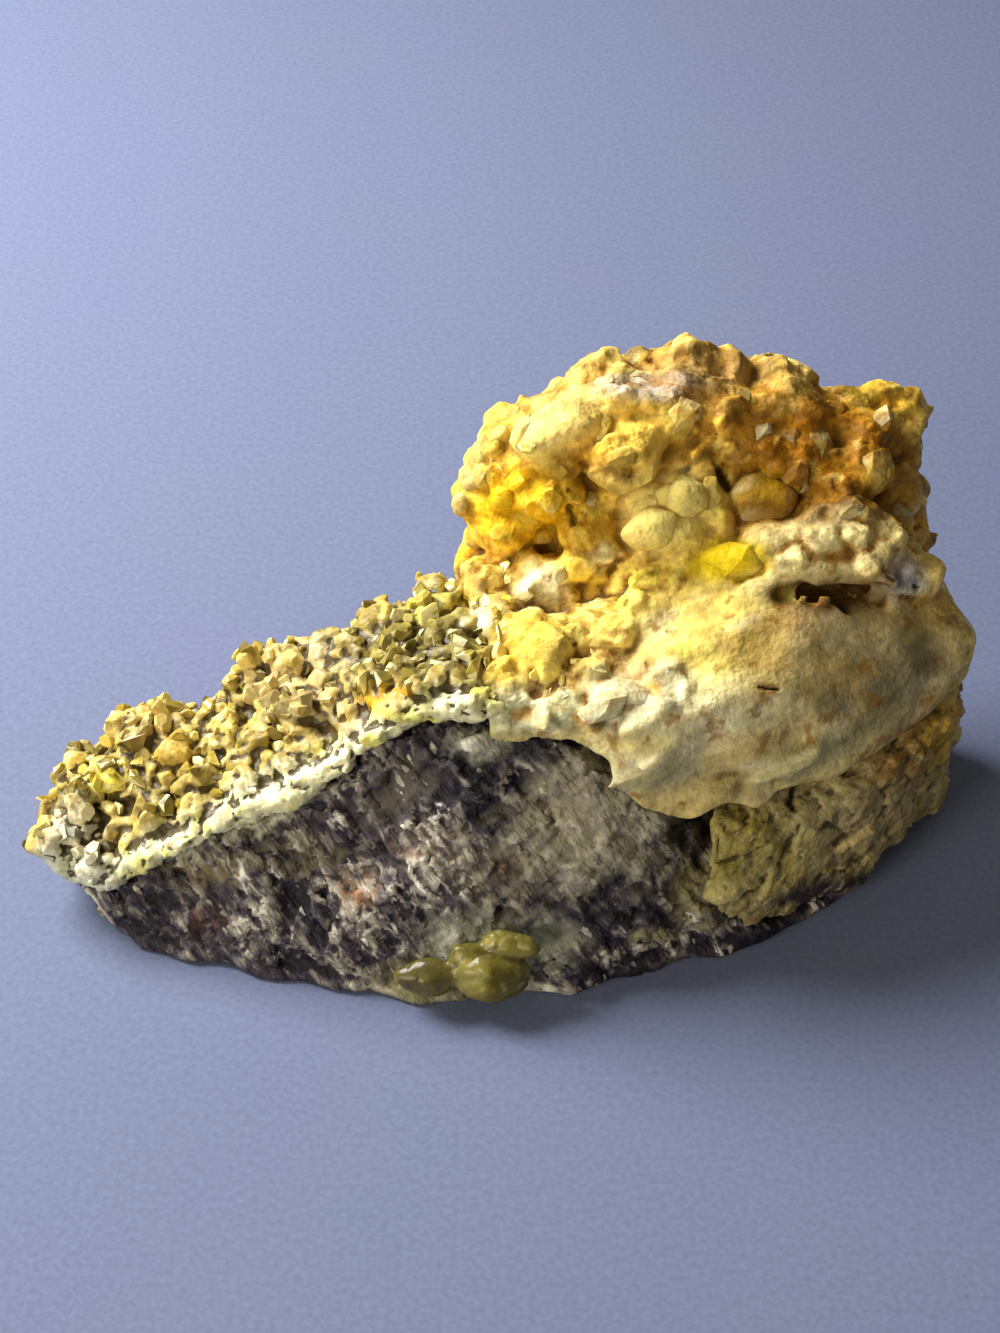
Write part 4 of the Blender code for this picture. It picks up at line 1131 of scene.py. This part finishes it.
spots, ledge, saddle, crest = growth_parts()
bare = 1 - ledge
for row in SMOOTH_LUMPS:
    bare = bare * (1 - blot(spots, growth_skin, *row))
bare = bare * crystal_ground(spots)
orange = blot(spots, growth_skin, 520, 505, 66, 45, 0, 0.3)
top = blot(spots, growth_skin, 690, 365, 90, 26, 0, 0.4)
store(growth, "crystals", bare * (1 - 0.6 * orange) * (1 - crest))
store(growth, "pebbles", bare * (0.1 + 0.5 * orange) * (1 - crest) * (1 - saddle) * (1 - top))
add_lumps(growth, HUMP_LUMPS + GROWTH_LUMPS, seed=9)
run_tree(growth, CRYSTALS, {
    "Shapes": grains, "Spacing": 2.0 * MM, "Smallest": 2.4 * MM, "Largest": 5.0 * MM,
    "Tallness": 0.45, "Lean": 0.25, "Sink": 0.2, "Seed": 8})
run_tree(growth, PEBBLES, {
    "Shapes": pebbles, "Spacing": 1.8 * MM, "Smallest": 2.2 * MM, "Largest": 4.4 * MM,
    "Tallness": 0.65, "Lean": 0.3, "Sink": 0.24, "Seed": 9})
chips = chips_of(growth, seed=22)
remade(growth, voxel_mm=0.34, rounds=1)

# the ledge alone is smoothed once more
ledge = growth_parts()[1]
smoothed = growth.vertex_groups.new(name="smoothed")
for index in np.nonzero(ledge > 0.05)[0]:
    smoothed.add([int(index)], float(ledge[index]), "REPLACE")
soften = growth.modifiers.new("soften", "SMOOTH")
soften.iterations = 6
soften.vertex_group = "smoothed"
settled(growth)
growth.vertex_groups.clear()

store_chips(growth, chips)
spots, ledge, saddle, crest = growth_parts()
calm = np.max([calmness * blot(spots, growth_skin, *row) for *row, calmness in CALM_LUMPS], axis=0)
crack = np.max([furrow(spots, growth_skin, line, width) for width, line in GROWTH_CRACKS], axis=0)
hump = np.clip(1 - ledge - saddle - calm, 0, 1)
store(growth, "amber", 1 - ledge - 0.4 * saddle)
store(growth, "faceted", 0.12 * ledge + 0.5 * saddle + 0.5 * hump + 0.1 * calm)
store(growth, "carved", 0.7 * crack)
gathering = tone(growth, "gathering", scale=200.0)
store(growth, "crystals", np.maximum(
    saddle * step(0.45, 0.6, gathering),
    hump * crystal_ground(spots) * (1 - 0.8 * crest) * step(0.64, 0.74, gathering)))
run_tree(growth, RELIEF, {
    "Facet pitch": 1.6 * MM, "Facet height": 0.2 * MM, "Grain pitch": 0.9 * MM,
    "Grain height": 0.1 * MM, "Stretch": 0.8, "Slant": math.radians(30),
    "Hollow depth": 0.24 * MM, "Material": growth_material(growth_skin)})

# the smaller lumps laid on again over the relief, with more corners, and the crisp ones
small_lumps = [(across, down, 0.85 * wide, 0.85 * tall, 0.2, turn, corners and corners + 10)
               for across, down, wide, tall, _, turn, corners in HUMP_LUMPS if wide < 30]
add_lumps(growth, small_lumps + CRISP_LUMPS, seed=19)
amber_look = growth.data.materials[-1]
growth.data.materials.clear()
growth.data.materials.append(amber_look)
growth.data.polygons.foreach_set(
    "material_index", np.zeros(len(growth.data.polygons), dtype=np.int32))
run_tree(growth, CRYSTALS, {
    "Shapes": grains, "Spacing": 1.6 * MM, "Smallest": 1.4 * MM, "Largest": 2.8 * MM,
    "Tallness": 0.5, "Lean": 0.35, "Sink": 0.27, "Seed": 6,
    "Material": crystal_material("honey_crystals", growth_skin, HONEY_SHADES, growth_colour)})
own_piece(growth, "amber_growth_and_ledge", "botryoidal_mass")

# ---------------------------------------------------------------- lower lobe
# A second, duller growth under the ledge: granular yellow-brown, olive towards the rock, parted
# from the ledge above by an open fissure and cracked through in a few places.

# place, half width, half height, turn, colour and strength
LOBE_STAINS = [
    (900, 745, 70, 42, 20, (0.30, 0.15, 0.015), 0.8),
    (940, 740, 26, 36, 0, (0.60, 0.38, 0.03), 0.8), (755, 850, 56, 46, 0, (0.34, 0.28, 0.06), 0.8),
    (830, 800, 60, 40, 0, (0.40, 0.34, 0.16), 0.7), (870, 830, 60, 30, 30, (0.44, 0.32, 0.15), 0.6),
    (825, 889, 70, 12, 14, (0.03, 0.02, 0.03), 0.95),
    (735, 890, 40, 12, 30, (0.48, 0.42, 0.16), 0.6)]
# place, half width, half height, height above the skin, turn and corners
LOBE_LUMPS = [
    (940, 725, 18, 14, 0.8, 0, 11), (944, 755, 12, 14, 0.6, 0, 11), (905, 725, 22, 12, 0.7, 20, 11),
    (870, 745, 24, 14, 0.6, 20, 11), (920, 785, 18, 20, 0.6, 0, 12), (760, 850, 34, 34, 0.6, 0, 12),
    (820, 800, 34, 24, 0.5, 0, 12), (860, 840, 34, 24, 0.5, 30, 12), (735, 890, 26, 12, 0.7, 10, 0)]
LOBE_CRACKS = [
    (0.6, [(716, 838), (714, 856), (712, 874)]), (0.6, [(714, 868), (724, 864), (738, 860)]),
    (0.4, [(800, 770), (790, 800), (800, 830)])]


def lobe_material(skin):
    made, tree, shader = new_material("yellow_brown_lobe", roughness=0.5, waxy=0.12, depth_mm=0.8)
    place, facing, where = axes_of(tree, reach_mm=1.6, scale=320.0)
    colour = over(tree, (0.32, 0.25, 0.09), (0.50, 0.41, 0.16),
                  specks(tree, place, 380.0, 0.38, 0.62, 6.0))
    colour = stained(tree, where, skin, colour, LOBE_STAINS)
    brushed = drawn_out(tree, facing, slant=40, stretch=0.5)
    value = times(tree, mottle(tree, brushed, 1100.0, 0.8), mottle(tree, place, 420.0, 0.8),
                  plus(tree, 0.8, attribute(tree, "lump"), 0.4))
    colour = shaded(tree, colour, value)
    colour = over(tree, colour, (0.62, 0.56, 0.34),
                  specks(tree, brushed, 1500.0, 0.56, 0.68, 4.0), 0.5)
    # painted shade: almost black in the deepest hollows
    colour = over(tree, colour, (0.04, 0.022, 0.008), hollow_shade(tree, 0.6, 1.0), 0.85)
    finished(tree, shader, colour, noise(tree, place, 1500.0, 5.0), depth_mm=0.3)
    return made


lobe = closed_copy("lower_lobe", voxel_mm=0.45, rounds=5)
lobe_skin = skin_tree_of(lobe)
add_lumps(lobe, LOBE_LUMPS, seed=11)
chips = chips_of(lobe, seed=23)
remade(lobe, voxel_mm=0.32, rounds=1)
store_chips(lobe, chips)
spots = places(lobe)
crack = np.max([furrow(spots, lobe_skin, line, width) for width, line in LOBE_CRACKS], axis=0)
store(lobe, "faceted", 0.9)
store(lobe, "domed", 0.3)
store(lobe, "carved", 0.8 * crack)
run_tree(lobe, RELIEF, {
    "Facet pitch": 1.9 * MM, "Facet height": 0.4 * MM, "Grain pitch": 0.9 * MM,
    "Grain height": 0.2 * MM, "Dome pitch": 2.4 * MM, "Dome height": 0.4 * MM, "Stretch": 0.9,
    "Slant": math.radians(-40), "Hollow depth": 0.18 * MM, "Material": lobe_material(lobe_skin)})
own_piece(lobe, "lower_lobe_growth", "lower_lobe")

# ---------------------------------------------------------------- beads at the foot
# A few waxy green-yellow balls grown on the rock just above the surface it lies on.

# place, half width, half height, height above the skin, turn and corners
BEAD_LUMPS = [
    (492, 979, 38, 27, 0.9, 0, 0), (428, 981, 32, 19, 0.7, 0, 0), (506, 951, 30, 15, 0.15, 0, 0),
    (470, 958, 20, 13, 0.5, 0, 0), (455, 972, 16, 12, 0.5, 0, 0)]


def bead_material(skin):
    made, tree, shader = new_material("green_beads", roughness=0.3, waxy=0.3, depth_mm=1.2)
    place, _, where = axes_of(tree, reach_mm=1.0, scale=400.0)
    colour = over(tree, (0.12, 0.10, 0.012), (0.24, 0.21, 0.045),
                  specks(tree, place, 330.0, 0.4, 0.6, 4.0))
    colour = over(tree, colour, (0.075, 0.06, 0.02),
                  patch(tree, where, skin, 420, 980, 36, 24), 0.75)
    colour = shaded(tree, colour, mottle(tree, place, 700.0, 0.6))
    colour = over(tree, colour, (0.60, 0.55, 0.28), specks(tree, place, 600.0, 0.58, 0.7, 4.0), 0.5)
    # painted shade: darker in the hollows between the beads
    colour = over(tree, colour, (0.05, 0.04, 0.008), hollow_shade(tree, 0.6, 0.95), 0.8)
    finished(tree, shader, colour, noise(tree, place, 900.0, 3.0), depth_mm=0.12)
    return made


beads = closed_copy("foot_spheres", voxel_mm=0.25, rounds=5)
add_lumps(beads, BEAD_LUMPS, seed=12)
bead_skin = skin_tree_of(beads)
# the solid's own balls served to set the lumps on, and only the lumps stay
bm = bmesh.new()
bm.from_mesh(beads.data)
tint = bm.verts.layers.float["tint"]
bmesh.ops.delete(bm, geom=[vert for vert in bm.verts if vert[tint] == 0], context="VERTS")
bm.to_mesh(beads.data)
bm.free()
remade(beads, voxel_mm=0.25, rounds=4)
store(beads, "faceted", 0.2)
run_tree(beads, RELIEF, {
    "Facet pitch": 1.8 * MM, "Facet height": 0.4 * MM, "Grain pitch": 0.8 * MM,
    "Grain height": 0.08 * MM, "Stretch": 1.0, "Hollow depth": 0.14 * MM,
    "Material": bead_material(bead_skin)})
own_piece(beads, "foot_beads", "foot_spheres")

# the shapes that were scattered are taken away
for shelf in (grains, pebbles):
    for shape in list(shelf.objects):
        bpy.data.objects.remove(shape)
    bpy.data.collections.remove(shelf)

# ---------------------------------------------------------------- table and light
# A sheet of pale blue-grey paper under soft window light from behind on the left.

bpy.ops.mesh.primitive_plane_add(size=1.6)
paper = bpy.context.object
paper.name = "paper"
paper_look, tree, shader = new_material("pale_paper", roughness=0.85)
place = add(tree, "ShaderNodeTexCoord").outputs["Object"]
shade = over(tree, (0.15, 0.182, 0.30), (0.135, 0.158, 0.275),
             specks(tree, place, 30.0, 0.35, 0.65, 5.0))
grain = times(tree, mottle(tree, place, 1600.0, 0.25, 4.0), mottle(tree, place, 30.0, 0.2))
tree.links.new(shaded(tree, shade, grain), shader.inputs["Base Color"])
paper.data.materials.append(paper_look)


def soft_light(name, place, size, power, colour):
    """A round panel of light, turned to the specimen's middle."""
    light = bpy.data.lights.new(name, "AREA")
    light.shape = "DISK"
    light.size = size
    light.energy = power
    light.color = colour
    obj = bpy.data.objects.new(name, light)
    obj.location = place
    middle = Vector((0.0, 0.0, 0.02))
    obj.rotation_euler = (middle - Vector(place)).to_track_quat("-Z", "Y").to_euler()
    bpy.context.scene.collection.objects.link(obj)


soft_light("window", (-0.24, 0.14, 0.25), size=0.2, power=3.2, colour=(1.0, 0.97, 0.93))
soft_light("room", (-0.42, -0.42, 0.22), size=0.3, power=2.1, colour=(1.0, 0.92, 0.74))
world = bpy.data.worlds.new("room_air")
world.use_nodes = True
background = world.node_tree.nodes["Background"].inputs
background["Color"].default_value = (1.0, 0.90, 0.68, 1.0)
background["Strength"].default_value = 0.2
bpy.context.scene.world = world
bpy.context.scene.view_settings.view_transform = "Standard"
